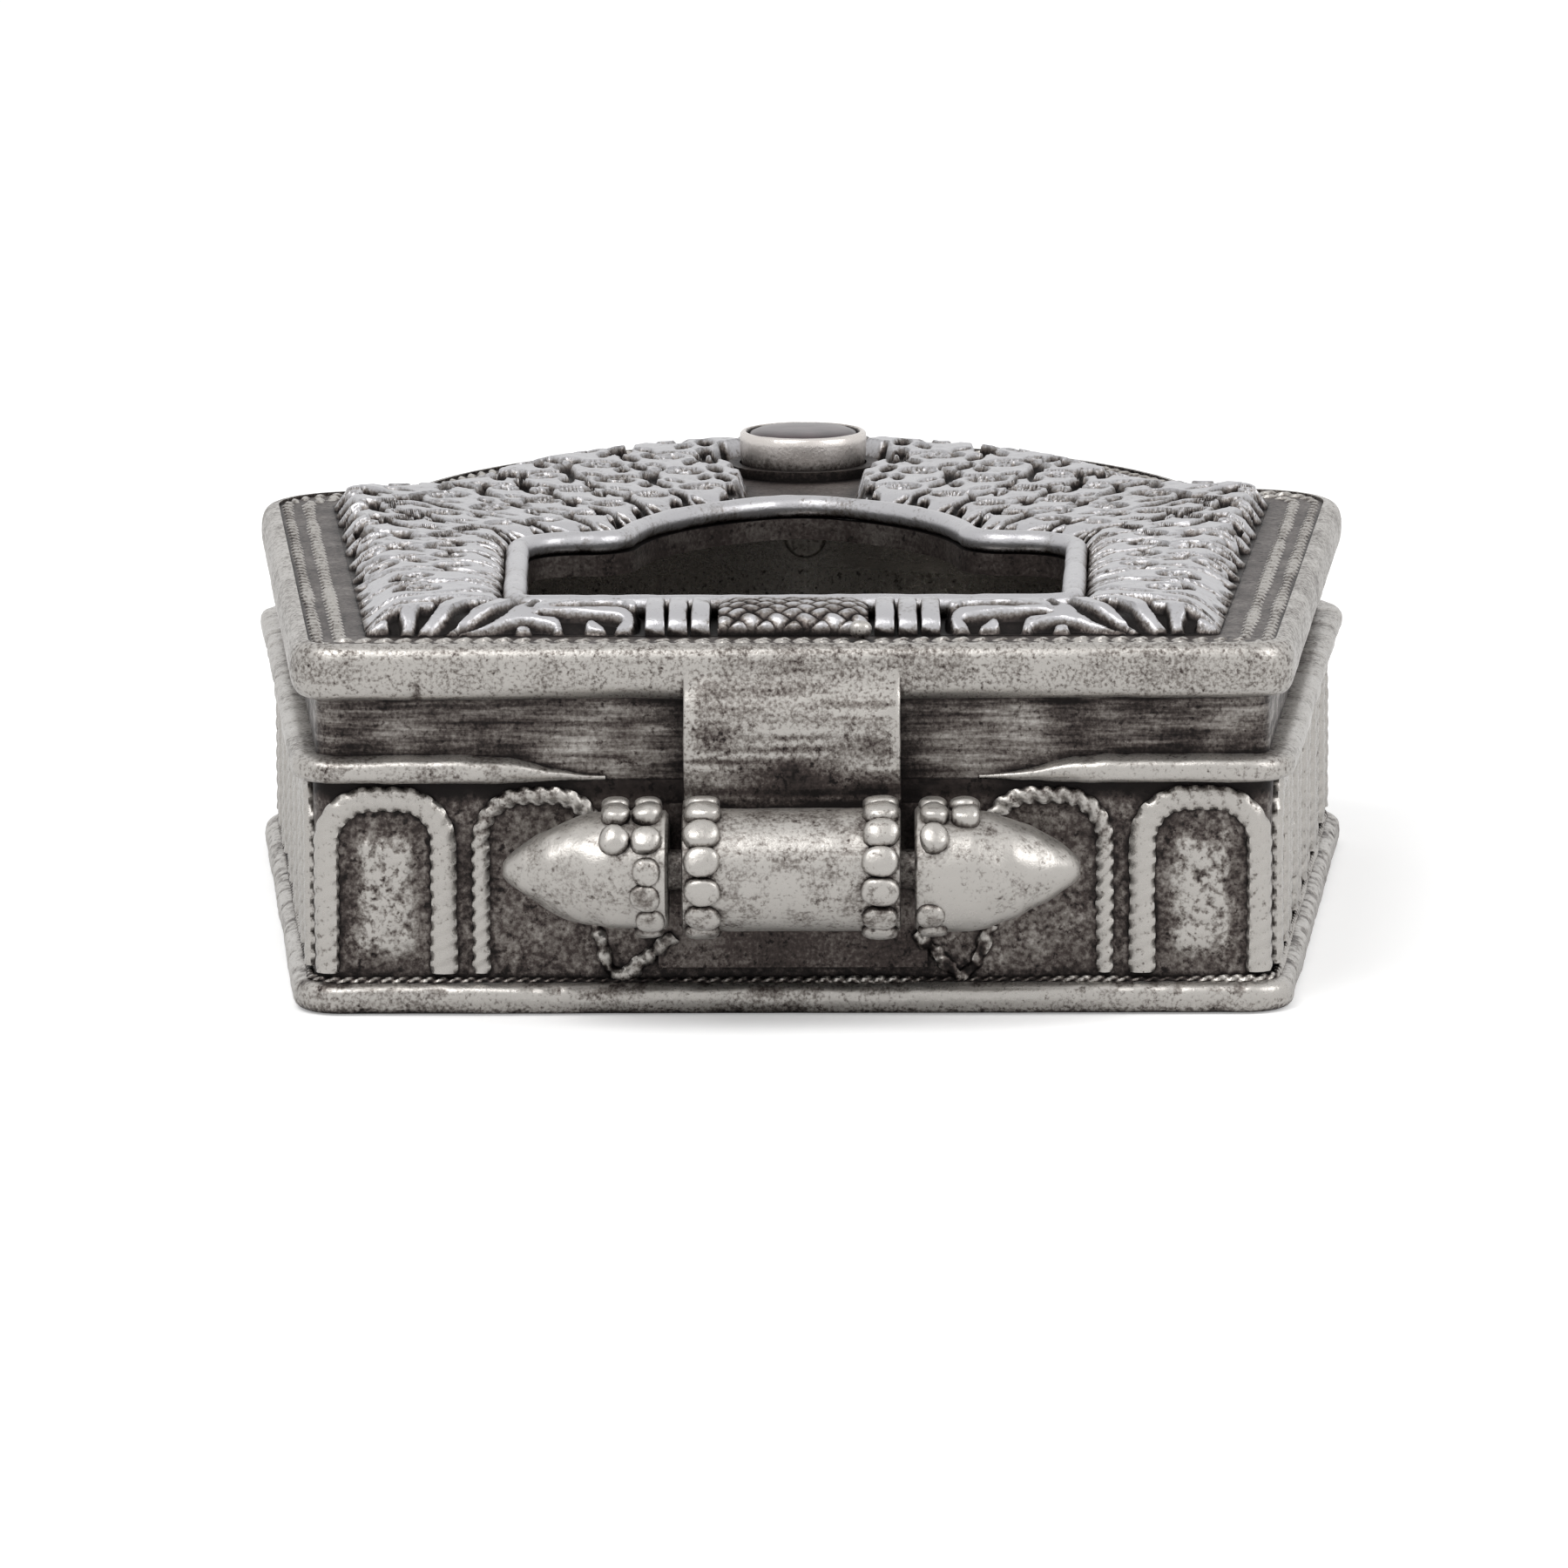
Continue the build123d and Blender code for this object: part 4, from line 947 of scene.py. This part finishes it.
def add_scroll_frame(material):
    """The raised frame of scrollwork, in a left and a right half."""
    drawing = draw_scrolls()
    plan = ring_half(shrine_runs(BOX, FRAME_INSET), shrine_runs(WINDOW, -RIM_WIDTH))
    dome = frame_height(plan)
    for side, name in ((-1, "left"), (1, "right")):
        mask = drawing.sample(side * plan[..., 0], plan[..., 1])
        points = np.concatenate((plan * (side, 1) + (0, FOOT_Y), dome[..., None]), axis=-1)
        worn = noise(points, 2.6, 51)
        fine = noise(points, 0.5, 52)
        depth = CARVING_DEPTH * smooth(dome / 0.3)
        points[..., 2] = LID_TOP + np.maximum(dome - depth * (1 - mask) + 0.03 * fine * mask, 0.02)
        wear = 0.16 + smooth(dome / 0.4) * (mask * (0.84 + 0.12 * worn + 0.1 * fine) - 0.16)
        half = Grid(with_skirt(points), np.pad(wear, ((0, 0), (1, 1))))
        piece(f"scroll_frame_{name}", "lid", "worn_silver", material, [half], "scroll_frame", crease=80)


# Bars and plaque at the frame's foot
BARS = 3
BAR_START = 3.71
BAR_PITCH = 0.92
BAR_HALF = 0.39
PLAQUE_LEFT = -3.0
PLAQUE_RIGHT = 3.05
STRIP_PITCH = 0.95
STRIP_SLANT = (0.85, 1.1)
STRIP_DEPTH = 0.3


def foot_height(y):
    """Height of the frame's swelling at the foot, at plan heights y."""
    outer = 0.25 + 0.75 * pillow(y - FRAME_INSET, 2.0)
    return CREST * np.minimum(outer, 0.3 + 0.7 * pillow(FRAME_FOOT - y, 1.4))


def foot_bar(x, seed):
    """An upright rounded bar at an x."""
    y = np.linspace(FRAME_INSET + 0.02, FRAME_FOOT - 0.02, 26)
    angle = np.linspace(0, math.pi, 11)
    across = x + BAR_HALF * signed_power(np.cos(angle), 0.4)
    rise = foot_height(y)[:, None] * (0.5 + 0.5 * np.abs(np.sin(angle)) ** 0.35) + 0.02
    rise = np.pad(rise, ((0, 0), (1, 1)))
    across = np.broadcast_to(np.r_[across[0], across, across[-1]], rise.shape)
    points = np.stack((across, np.broadcast_to(y[:, None] + FOOT_Y, rise.shape), LID_TOP + rise), -1)
    fine = noise(points, 0.7, seed)
    points = points + fine[..., None] * (0.04, 0, 0.03)
    points[..., 2] = np.maximum(points[..., 2], LID_TOP)
    upper = np.r_[0, np.abs(np.sin(angle)) ** 0.4, 0]
    return Grid(points, 0.15 + 0.65 * upper + 0.25 * fine)


def add_foot_bars(material):
    """Three upright rounded bars on each side of the plaque."""
    for side, node, seed in ((-1, "left_foot_bars", 61), (1, "right_foot_bars", 62)):
        bars = [foot_bar(side * (BAR_START + BAR_PITCH * i), seed + i) for i in range(BARS)]
        piece(f"rounded_{node}", "lid", "worn_silver", material, bars, node)


def add_plaque(material):
    """The plaque of woven strips: two sets of slanted strips that pass over and under."""
    x = np.linspace(PLAQUE_LEFT, PLAQUE_RIGHT, 110)
    y = np.linspace(FRAME_INSET + 0.03, FRAME_FOOT - 0.03, 84)
    x, y = np.meshgrid(x, y, indexing="ij")
    dome = foot_height(y) * (0.6 + 0.4 * pillow(3.1 - np.abs(x), 1.1)) + 0.05
    across, up = x * STRIP_SLANT[0], y * STRIP_SLANT[1]
    u, v = (across + up) / STRIP_PITCH, (across - up) / STRIP_PITCH
    strip_u = np.abs(np.sin(math.pi * u)) ** 0.5
    strip_v = np.abs(np.sin(math.pi * v)) ** 0.5
    over = ((np.floor(u) + np.floor(v)) % 2) == 0
    weave = np.where(over, strip_u * (0.65 + 0.35 * strip_v), strip_v * (0.65 + 0.35 * strip_u))
    height = np.maximum(dome - STRIP_DEPTH * (1 - weave), 0.03)
    points = np.stack((x, y + FOOT_Y, LID_TOP + height), -1)
    wear = 0.72 * weave**2 + 0.2 * noise(points, 0.6, 66)
    plaque = Grid(with_skirt(points), np.pad(wear, ((0, 0), (1, 1))))
    piece("woven_strips", "lid", "worn_silver", material, [plaque], "woven_plaque", crease=80)


# Hinge: beads have an x and an angle in degrees over the front
BARREL_RADIUS = 2.45
BARREL_HALF = 4.35
BARREL_BEVEL = 0.12
BARREL_SIDES = 56
BARREL_DENT = 0.015
PIN_CLEAR = 0.86
KNUCKLE_START = 4.9
KNUCKLE_COLLAR = 2.0
KNUCKLE_LENGTH = 6.6
KNUCKLE_RADIUS = 2.4
KNUCKLE_TIP = 0.3
KNUCKLE_SIDES = 48
KNUCKLE_DENT = 0.07
BARREL_BEAD_X = 3.55
BARREL_BEADS = (97, 70, 43, 17, -10, -38, -65, -92, -119, -146)
LEFT_BEADS = (
    (5.72, 100), (7.0, 98), (5.72, 72), (7.0, 72), (5.75, 38), (7.0, 38), (5.75, 8), (5.8, -17), (5.6, -44),
    (5.7, -75), (5.7, -105),
)
RIGHT_BEADS = ((5.65, 96), (6.9, 94), (5.65, 70), (6.9, 68), (5.7, 40), (5.5, -38), (5.6, -66), (5.7, -95))
BEAD_ROUGHNESS = 0.12
BEAD_FLATNESS = 0.45
GRANULE_SIZES = (0.45, 0.36, 0.36)


def bead_points(centre, axes, sizes, seed, rough=0.06, flat=0.9):
    """Grid of points of an uneven bead with half-sizes along three directions, flattened along the last."""
    polar = np.linspace(0.05, math.pi - 0.05, 13)[:, None]
    turn = circle(18)[None]
    ring, rise = np.sin(polar), np.cos(polar) + 0 * turn
    ball = np.stack((ring * np.cos(turn), ring * np.sin(turn), rise), -1)
    bump = 1 + rough * noise(ball * 0.9 + seed * 3.7, 0.9, seed)
    local = signed_power(ball, np.array((0.9, 0.9, flat))) * sizes * bump[..., None]
    return centre + local @ np.array(axes)


def hinge_bead(x, angle, core, sizes, seed, wear):
    """A bead on a core round the hinge, with sizes along X, round the hinge and out."""
    turn = math.radians(angle)
    out = np.array((0, -math.cos(turn), math.sin(turn)))
    axes = ((1, 0, 0), np.cross((1, 0, 0), out), out)
    centre = np.array((x, *HINGE)) + out * core
    points = bead_points(centre, axes, sizes, seed, BEAD_ROUGHNESS, BEAD_FLATNESS)
    outward = (points - centre) @ out / sizes[2]
    return Grid(points, (wear + 0.3 * noise(points, 0.4, seed)) * smooth(0.45 + 0.7 * outward))


def add_barrel(material):
    """The barrel that turns on the pin, with a ring of flattened beads at each end."""
    bevel = (-BARREL_HALF, -BARREL_HALF, -BARREL_HALF + 0.05)
    x = np.r_[bevel, np.linspace(-4.1, 4.1, 60), np.negative(bevel[::-1])]
    radius = np.full((len(x), 1), BARREL_RADIUS)
    radius[[1, -2]] -= BARREL_BEVEL
    radius[[0, -1]] = PIN_CLEAR
    lump, fine, wear = finish(turned(x, radius, HINGE, BARREL_SIDES), BARREL)
    dents = np.where(radius > PIN_CLEAR, BARREL_DENT * (2 * lump + fine), 0)
    barrel = Grid(turned(x, radius + dents, HINGE, BARREL_SIDES), wear, True)
    piece("worn_barrel", "lid", "worn_silver", material, [barrel], "hinge_barrel")
    for side, node, seed in ((-1, "left_barrel_beads", 73), (1, "right_barrel_beads", 93)):
        beads = []
        for i, turn in enumerate(BARREL_BEADS):
            # The beads are fuller towards the top of the hinge and painted brighter there, a painted
            # highlight from above with painted shade below
            worn = smooth((turn + 60) / 90)
            sizes = (0.74, 0.62, 0.42 + 0.14 * worn)
            wear = 0.6 + 0.35 * worn
            beads.append(hinge_bead(side * BARREL_BEAD_X, turn, BARREL_RADIUS - 0.03, sizes, seed + i, wear))
        piece(f"flattened_{node}", "lid", "worn_silver", material, beads, node)


def knuckle(side, kind):
    """A hammered, bullet-shaped knuckle, from its root to its tip."""
    t = np.linspace(0, 1, 26)
    taper = KNUCKLE_TIP + (KNUCKLE_RADIUS - KNUCKLE_TIP) * (1 - t**1.75) ** 0.82
    taper_x = KNUCKLE_COLLAR + t * (KNUCKLE_LENGTH - KNUCKLE_COLLAR)
    x = KNUCKLE_START + np.r_[0, 0.12, KNUCKLE_COLLAR / 2, taper_x]
    radius = np.r_[KNUCKLE_RADIUS - 0.15, KNUCKLE_RADIUS, KNUCKLE_RADIUS, taper][:, None]
    lump, fine, wear = finish(turned(side * x, radius, HINGE, KNUCKLE_SIDES), kind)
    dents = KNUCKLE_DENT * (2 * lump + fine) * np.minimum(radius, 1)
    return Grid(turned(side * x, radius + dents, HINGE, KNUCKLE_SIDES), wear)


def add_knuckles(material):
    """The two bullet-shaped knuckles with their granules."""
    sides = ((-1, "left", LEFT_BEADS, LEFT_KNUCKLE), (1, "right", RIGHT_BEADS, RIGHT_KNUCKLE))
    for side, name, places, kind in sides:
        node = f"{name}_knuckle"
        piece(f"bullet_{node}", "box", "worn_silver", material, [knuckle(side, kind)], node)
        beads = []
        for seed, (x, turn) in enumerate(places, kind.seed + 3):
            # The beads are fuller towards the top of the hinge and painted brighter there, a painted
            # highlight from above with painted shade below
            worn = smooth((turn + 30) / 80)
            sizes = (0.6, 0.6, 0.4 + 0.16 * worn)
            beads.append(hinge_bead(side * x, turn, KNUCKLE_RADIUS - 0.05, sizes, seed, 0.55 + 0.4 * worn))
        piece(f"flattened_{node}_beads", "box", "worn_silver", material, beads, f"{node}_beads")


# Strap
STRAP_ROWS = 90
STRAP_SIDES = 72
STRAP_TOP = LID_TOP - 0.1
STRAP_SINK = 0.03
STRAP_BACK = 0.4


def add_strap(material):
    """The strap that flows out of the band and down to the barrel, streaked and worn bright at its edges,
    with painted shade darkening it towards the barrel.
    """
    start, end = low("hinge_strap"), high("hinge_strap")
    z = np.linspace(start[2], STRAP_TOP, STRAP_ROWS)
    angle = circle(STRAP_SIDES)
    half_x = (end[0] - start[0]) / 2
    x = half_x * signed_power(np.cos(angle), 0.25)
    across = signed_power(np.sin(angle), 0.4)
    bulge, band_z = pillow_section(BAND_FOOT, BAND_TOP, BAND_THICKNESS, 60)
    bulge = np.where(z > band_z[30], np.interp(z, band_z, bulge), BAND_THICKNESS)
    band_front = end[1] + BAND_THICKNESS - bulge
    depth = end[1] - start[1] + STRAP_SINK
    front = band_front + STRAP_SINK - depth * smooth((LID_TOP - 0.3 - z) / 3.2)
    back = end[1] + STRAP_BACK * smooth((z - BAND_FOOT) / 0.6)
    y = (front + back)[:, None] / 2 + across[None] * (back - front)[:, None] / 2
    points = np.stack((np.broadcast_to(x, y.shape), y, np.broadcast_to(z[:, None], y.shape)), -1)
    fine = noise(points, 0.7, 81)
    lump = noise(points, 2.5, 82)
    points = points + (fine * 0.03 + lump * 0.03)[..., None] * (1, 1, 0)
    edge = smooth((np.abs(x) - half_x + 0.7) / 0.6) * smooth(-across * 2)
    # Painted shade: the strap darkens towards the barrel, in the corner that the barrel makes with it
    out_of_barrel_shade = smooth((z - start[2] - 1.9) / 2.6)[:, None]
    streaks = noise(points * (0.12, 0.12, 1.6), 0.4, 83) * smooth((LID_TOP - 0.8 - z) / 1.5)[:, None]
    wear = 0.14 + (0.38 + 0.3 * edge) * out_of_barrel_shade + 0.14 * lump + 0.1 * fine + 0.3 * streaks
    piece("worn_strap", "lid", "worn_silver", material, [Grid(points, wear)], "hinge_strap")


# Stone setting
CUP_WALL = 0.35
SETTING_SIDES = 56


def lathe_up(profile, kind, rough):
    """Points and wear of a piece turned about the stone's upright axis, from its radii and heights."""
    radius, z = np.array(profile).T
    z, x, y = rings(z, radius[:, None], SETTING_SIDES)
    points = np.stack((CUP_MIDDLE[0] + x, CUP_MIDDLE[1] + y, z), -1)
    lump, fine, wear = finish(points, kind)
    return points + rough * (2 * lump + fine)[..., None], wear


def add_setting(silver, stone):
    """The stone's cup with its rolled lip, and the stone."""
    start, end = low("stone_cup"), high("stone_cup")
    base, top = start[2], end[2]
    radius = (end[0] - start[0]) / 2
    bore = radius - CUP_WALL
    profile = (
        (radius - 0.2, base), (radius - 0.1, base + 0.35), (radius - 0.02, base + 0.9), (radius, top - 0.4),
        (radius - 0.02, top - 0.12), (radius - 0.12, top - 0.01), (radius - 0.25, top), (bore, top - 0.1),
        (bore, base + 0.5), (0.4, base + 0.45),
    )
    # Painted shade: the cup is darker towards its foot, where it meets the frame, and inside its bore; its
    # rolled lip is brightest
    ground = np.array((0.3, 0.6, 0.85, 0.95, 1.0, 1.0, 0.8, 0.2, 0.1, 0.1))
    points, wear = lathe_up(profile, CUP, 0.01)
    piece("rolled_cup", "lid", "worn_silver", silver, [Grid(points, ground[:, None] + wear)], "stone_cup")
    crown = high("stone")[2]
    girdle = bore - 0.03
    profile = (
        (girdle - 0.05, base + 0.5), (girdle, base + 0.6), (girdle, top - 0.22), (girdle - 0.12, top - 0.06),
        (girdle - 0.4, crown - 0.1), (girdle * 0.6, crown - 0.03), (girdle * 0.3, crown), (0.1, crown),
    )
    piece("polished_stone", "lid", "dark_stone", stone, [Grid(*lathe_up(profile, STONE, 0.006))], "stone")


def add_granule(material):
    """The stray granule before the plaque."""
    points = bead_points(middle("frieze_granule"), np.eye(3), GRANULE_SIZES, 150)
    piece("oval_granule", "lid", "worn_silver", material, [Grid(points, 0.8)], "frieze_granule")


# Bail
BAIL_BORE = 0.9
BAIL_SIDES = 40
BAIL_ROLL = 0.12
BAIL_EDGE = 0.15


def add_bail(material):
    """The cord tube at the head, with rolled ends."""
    start, end = low("bail_tube"), high("bail_tube")
    outer = (end[2] - start[2]) / 2
    roll = -end[0] + np.array((0, 0, 0.06, 0.5, 0.62))
    x = np.r_[roll, np.linspace(-end[0] + 0.9, end[0] - 0.9, 40), -roll[::-1]]
    radius = np.full((len(x), 1), outer - BAIL_ROLL)
    radius[[0, -1]] = BAIL_BORE
    radius[[1, -2]] = outer - BAIL_EDGE
    radius[[2, 3, -3, -4]] = outer
    points = turned(x, radius, middle("bail_tube")[1:], BAIL_SIDES)
    bail = Grid(points, finish(points, BAIL)[2], True)
    piece("rolled_bail", "box", "worn_silver", material, [bail], "bail_tube")


DARK = (0.012, 0.01, 0.0095, 1)
BROWN = (0.062, 0.049, 0.045, 1)
GREY = (0.19, 0.172, 0.157, 1)
BRIGHT = (0.45, 0.43, 0.405, 1)
COOL = (0.48, 0.475, 0.49, 1)
PALE = (0.66, 0.62, 0.59, 1)
STONE_DARK = (0.02, 0.012, 0.014, 1)
STONE_LIGHT = (0.075, 0.05, 0.055, 1)
FLOOR_WHITE = (0.9, 0.9, 0.9, 1)
WHITE = (1, 1, 1, 1)


class Nodes:
    """Builds the node tree of a material or a world with short calls."""

    def __init__(self, owner, output):
        owner.use_nodes = True
        self.owner = owner
        self.tree = owner.node_tree
        self.shader = self.tree.nodes[output]

    def new(self, kind, **values):
        """A node, with properties and input values by name."""
        node = self.tree.nodes.new(kind)
        for key, value in values.items():
            if key in node.inputs:
                node.inputs[key].default_value = value
            else:
                setattr(node, key, value)
        return node

    def link(self, start, end):
        """Joins two sockets."""
        self.tree.links.new(start, end)

    def set(self, **values):
        """Sets the shader's own sockets, with underscores for the spaces in their names."""
        for key, value in values.items():
            self.shader.inputs[key.replace("_", " ")].default_value = value

    def math(self, operation, *values):
        """A math node of sockets or numbers."""
        node = self.new("ShaderNodeMath", operation=operation)
        for socket, value in zip(node.inputs, values):
            if isinstance(value, (int, float)):
                socket.default_value = value
            else:
                self.link(value, socket)
        return node.outputs[0]

    def vary(self, total, value, amount, around=0.5):
        """Adds a value's departure from a middle, times an amount, to a total."""
        return self.math("ADD", total, self.math("MULTIPLY", self.math("SUBTRACT", value, around), amount))

    def noise(self, vector, scale, detail=4.0, roughness=0.6):
        """A noise value, with its scale in cells a millimetre."""
        node = self.new("ShaderNodeTexNoise", Scale=scale / MM, Detail=detail, Roughness=roughness)
        self.link(vector, node.inputs["Vector"])
        return node.outputs["Fac"]

    def ramp(self, value, *stops):
        """Colours along a value."""
        node = self.new("ShaderNodeValToRGB")
        self.link(value, node.inputs["Fac"])
        elements = node.color_ramp.elements
        while len(elements) < len(stops):
            elements.new(0.5)
        for element, (place, colour) in zip(elements, stops):
            element.position = place
            element.color = colour
        return node.outputs["Color"]

    def bump(self, height, strength, distance):
        """Bumps the shader by a height, with a distance in millimetres."""
        node = self.new("ShaderNodeBump", Strength=strength, Distance=distance * MM)
        self.link(height, node.inputs["Height"])
        self.link(node.outputs["Normal"], self.shader.inputs["Normal"])


def material_nodes(name):
    """Nodes of a new material."""
    return Nodes(bpy.data.materials.new(name), "Principled BSDF")


def silver_material(name, base=None, streak=0.35, grain=1.0, ground=0.35, inside_painted_light=0.0, speckles=6.0,
                    patches=0.35, bright=BRIGHT, reach=0.8, shade=0.6):
    """Worn, oxidised silver: bright where it is worn, brown to black where it lies deep, which is partly
    patina and partly painted shade from occlusion.
    """
    n = material_nodes(name)
    place = n.new("ShaderNodeTexCoord").outputs["Object"]
    mottle = n.noise(place, 0.45, 3.0, 0.6)
    speckle = n.noise(place, speckles, 4.0, 0.65)
    fleck = n.new("ShaderNodeMapRange", **{"From Min": 0.56, "From Max": 0.68, "To Min": 0.0, "To Max": 1.0})
    n.link(n.noise(place, 2.6, 6.0, 0.7), fleck.inputs["Value"])
    stretched = n.new("ShaderNodeMapping", Scale=(0.16, 0.16, 2.0))
    n.link(place, stretched.inputs["Vector"])
    brushed = n.noise(stretched.outputs["Vector"], 1.8, 4.0, 0.62)
    # Occlusion darkens the colour in crevices and between parts: partly patina in the hollows, partly painted
    # shade
    crevice_patina_and_shade = n.new("ShaderNodeAmbientOcclusion", samples=6, Distance=reach * MM)
    if base is None:
        total = n.math("MULTIPLY", n.new("ShaderNodeAttribute", attribute_name="wear").outputs["Fac"], 0.95)
    else:
        total = n.math("ADD", n.math("MULTIPLY", mottle, 0.1), base)
    # Painted light: faces that point back towards the object's origin are painted lighter, standing in for
    # light inside the box
    if inside_painted_light:
        facing = n.new("ShaderNodeVectorMath", operation="DOT_PRODUCT")
        n.link(place, facing.inputs[0])
        n.link(n.new("ShaderNodeTexCoord").outputs["Normal"], facing.inputs[1])
        inward = n.math("LESS_THAN", facing.outputs["Value"], 0.0)
        total = n.math("ADD", total, n.math("MULTIPLY", inward, inside_painted_light))
    total = n.vary(total, speckle, n.math("MULTIPLY_ADD", total, 1.1 * grain, ground))
    total = n.vary(total, mottle, patches)
    total = n.vary(total, brushed, streak)
    total = n.math("SUBTRACT", total, n.math("MULTIPLY", fleck.outputs["Result"], 0.3 * min(grain, 1.0)))
    # Painted shade and patina: darker where occlusion finds nearby surfaces
    total = n.vary(total, crevice_patina_and_shade.outputs["AO"], shade, 0.85)
    colour = n.ramp(total, (0.06, DARK), (0.26, BROWN), (0.46, GREY), (0.76, bright))
    n.link(colour, n.shader.inputs["Base Color"])
    n.link(n.math("MULTIPLY_ADD", total, -0.25, 0.55), n.shader.inputs["Roughness"])
    n.set(Metallic=0.85)
    n.bump(n.math("ADD", speckle, mottle), 0.35, 0.05)
    return n.owner


def stone_material():
    """A dark purple-brown stone, scratched dull."""
    n = material_nodes("dark_stone_look")
    place = n.new("ShaderNodeTexCoord").outputs["Object"]
    colour = n.ramp(n.noise(place, 0.8, 5.0, 0.6), (0.3, STONE_DARK), (0.7, STONE_LIGHT))
    n.link(colour, n.shader.inputs["Base Color"])
    n.set(Roughness=0.28)
    n.bump(n.noise(place, 3.0, 3.0, 0.6), 0.15, 0.03)
    return n.owner


def floor_material():
    """A plain white floor."""
    n = material_nodes("floor_look")
    n.set(Base_Color=FLOOR_WHITE, Roughness=0.9, Specular_IOR_Level=0.1, Emission_Color=WHITE)
    seen = n.new("ShaderNodeLightPath").outputs["Is Camera Ray"]
    n.link(n.math("MULTIPLY", seen, FLOOR_GLOW), n.shader.inputs["Emission Strength"])
    return n.owner


def dress_cad(material, *nodes):
    """Gives CAD nodes that stay in view their finish."""
    for node in nodes:
        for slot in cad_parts[node].material_slots:
            slot.material = material


def add_pieces():
    """All the pieces of the box and the lid, and the CAD nodes that stay."""
    worn = silver_material("worn_silver_look", grain=1.7)
    dark = silver_material("dark_silver_look", base=0.14, streak=0.2)
    wall = silver_material("wall_silver_look", streak=0.1, grain=3.2, ground=0.15, speckles=3.8)
    cool = silver_material("cool_silver_look", streak=0.15, grain=0.8, patches=0.4, bright=COOL)
    pale = silver_material("pale_silver_look", streak=0.15, grain=0.6, bright=PALE)
    band = silver_material("band_silver_look", grain=2.2)
    barrel = silver_material("barrel_silver_look", streak=0.7, grain=1.5, patches=0.15)
    # The neck's wide, strong occlusion paints shade under the band's lip and beside the strap, and its inward
    # faces are painted lighter
    neck = silver_material("neck_silver_look", base=0.26, streak=1.1, inside_painted_light=0.85, patches=0.7,
                           reach=2.2, shade=0.8)
    polished = silver_material("polished_silver_look", streak=0.15, grain=1.1, patches=0.8)
    pin = silver_material("pin_silver_look", base=0.55, streak=0.2)
    stone = stone_material()
    add_side_wall(wall)
    add_arches(worn)
    add_base(worn)
    add_moulding(worn)
    add_knuckles(polished)
    add_bail(worn)
    add_band(band)
    add_border_wires(worn)
    add_scroll_frame(cool)
    add_foot_bars(cool)
    add_plaque(cool)
    add_granule(worn)
    add_window_rim(cool)
    add_setting(pale, stone)
    add_barrel(barrel)
    add_strap(band)
    dress_cad(neck, "neck_collar")
    dress_cad(dark, "lid_plate", "setting_collar", "hinge_plate", "left_knuckle_lug", "right_knuckle_lug")
    dress_cad(pin, "hinge_pin", "bail_post")


def add_floor():
    """A plain pale floor under the object."""
    mesh = bpy.data.meshes.new("floor")
    half = FLOOR_HALF * MM
    corners = [(-half, -half, 0), (half, -half, 0), (half, half, 0), (-half, half, 0)]
    mesh.from_pydata(corners, [], [(0, 1, 2, 3)])
    mesh.materials.append(floor_material())
    floor = bpy.data.objects.new("floor", mesh)
    bpy.context.collection.objects.link(floor)


def add_world():
    """White surroundings, seen by the camera and in reflections, which light the object more softly."""
    n = Nodes(bpy.data.worlds.new("studio"), "Background")
    n.set(Color=WHITE)
    rays = n.new("ShaderNodeLightPath").outputs
    seen = n.math("MAXIMUM", rays["Is Camera Ray"], rays["Is Glossy Ray"])
    seen = n.math("MAXIMUM", seen, rays["Is Transmission Ray"])
    mix = n.new("ShaderNodeMapRange", **{"To Min": WORLD_LIGHT})
    n.link(seen, mix.inputs["Value"])
    n.link(mix.outputs["Result"], n.shader.inputs["Strength"])
    bpy.context.scene.world = n.owner
    bpy.context.scene.view_settings.view_transform = "Standard"


def add_lamp(name, place, size, power):
    """A soft square lamp that faces the object."""
    data = bpy.data.lights.new(name, "AREA")
    data.size = size * MM
    data.energy = power
    lamp = bpy.data.objects.new(name, data)
    lamp.location = [v * MM for v in place]
    aim = -lamp.location
    lamp.rotation_euler = aim.to_track_quat("-Z", "Y").to_euler()
    bpy.context.collection.objects.link(lamp)


def add_camera():
    """The camera at the photograph's angle."""
    data = bpy.data.cameras.new("camera")
    data.lens = LENS_MM
    data.sensor_width = SENSOR_MM
    data.sensor_fit = "HORIZONTAL"
    data.clip_start = CLIP_START * MM
    camera = bpy.data.objects.new("camera", data)
    camera.location = [v * MM for v in CAMERA_PLACE]
    camera.rotation_euler = (math.radians(90 - CAMERA_PITCH), 0, math.radians(CAMERA_YAW))
    camera.rotation_euler.rotate_axis("Z", math.radians(CAMERA_ROLL))
    bpy.context.collection.objects.link(camera)
    bpy.context.scene.camera = camera


add_pieces()
add_floor()
add_world()
for lamp_values in LAMPS:
    add_lamp(*lamp_values)
add_camera()
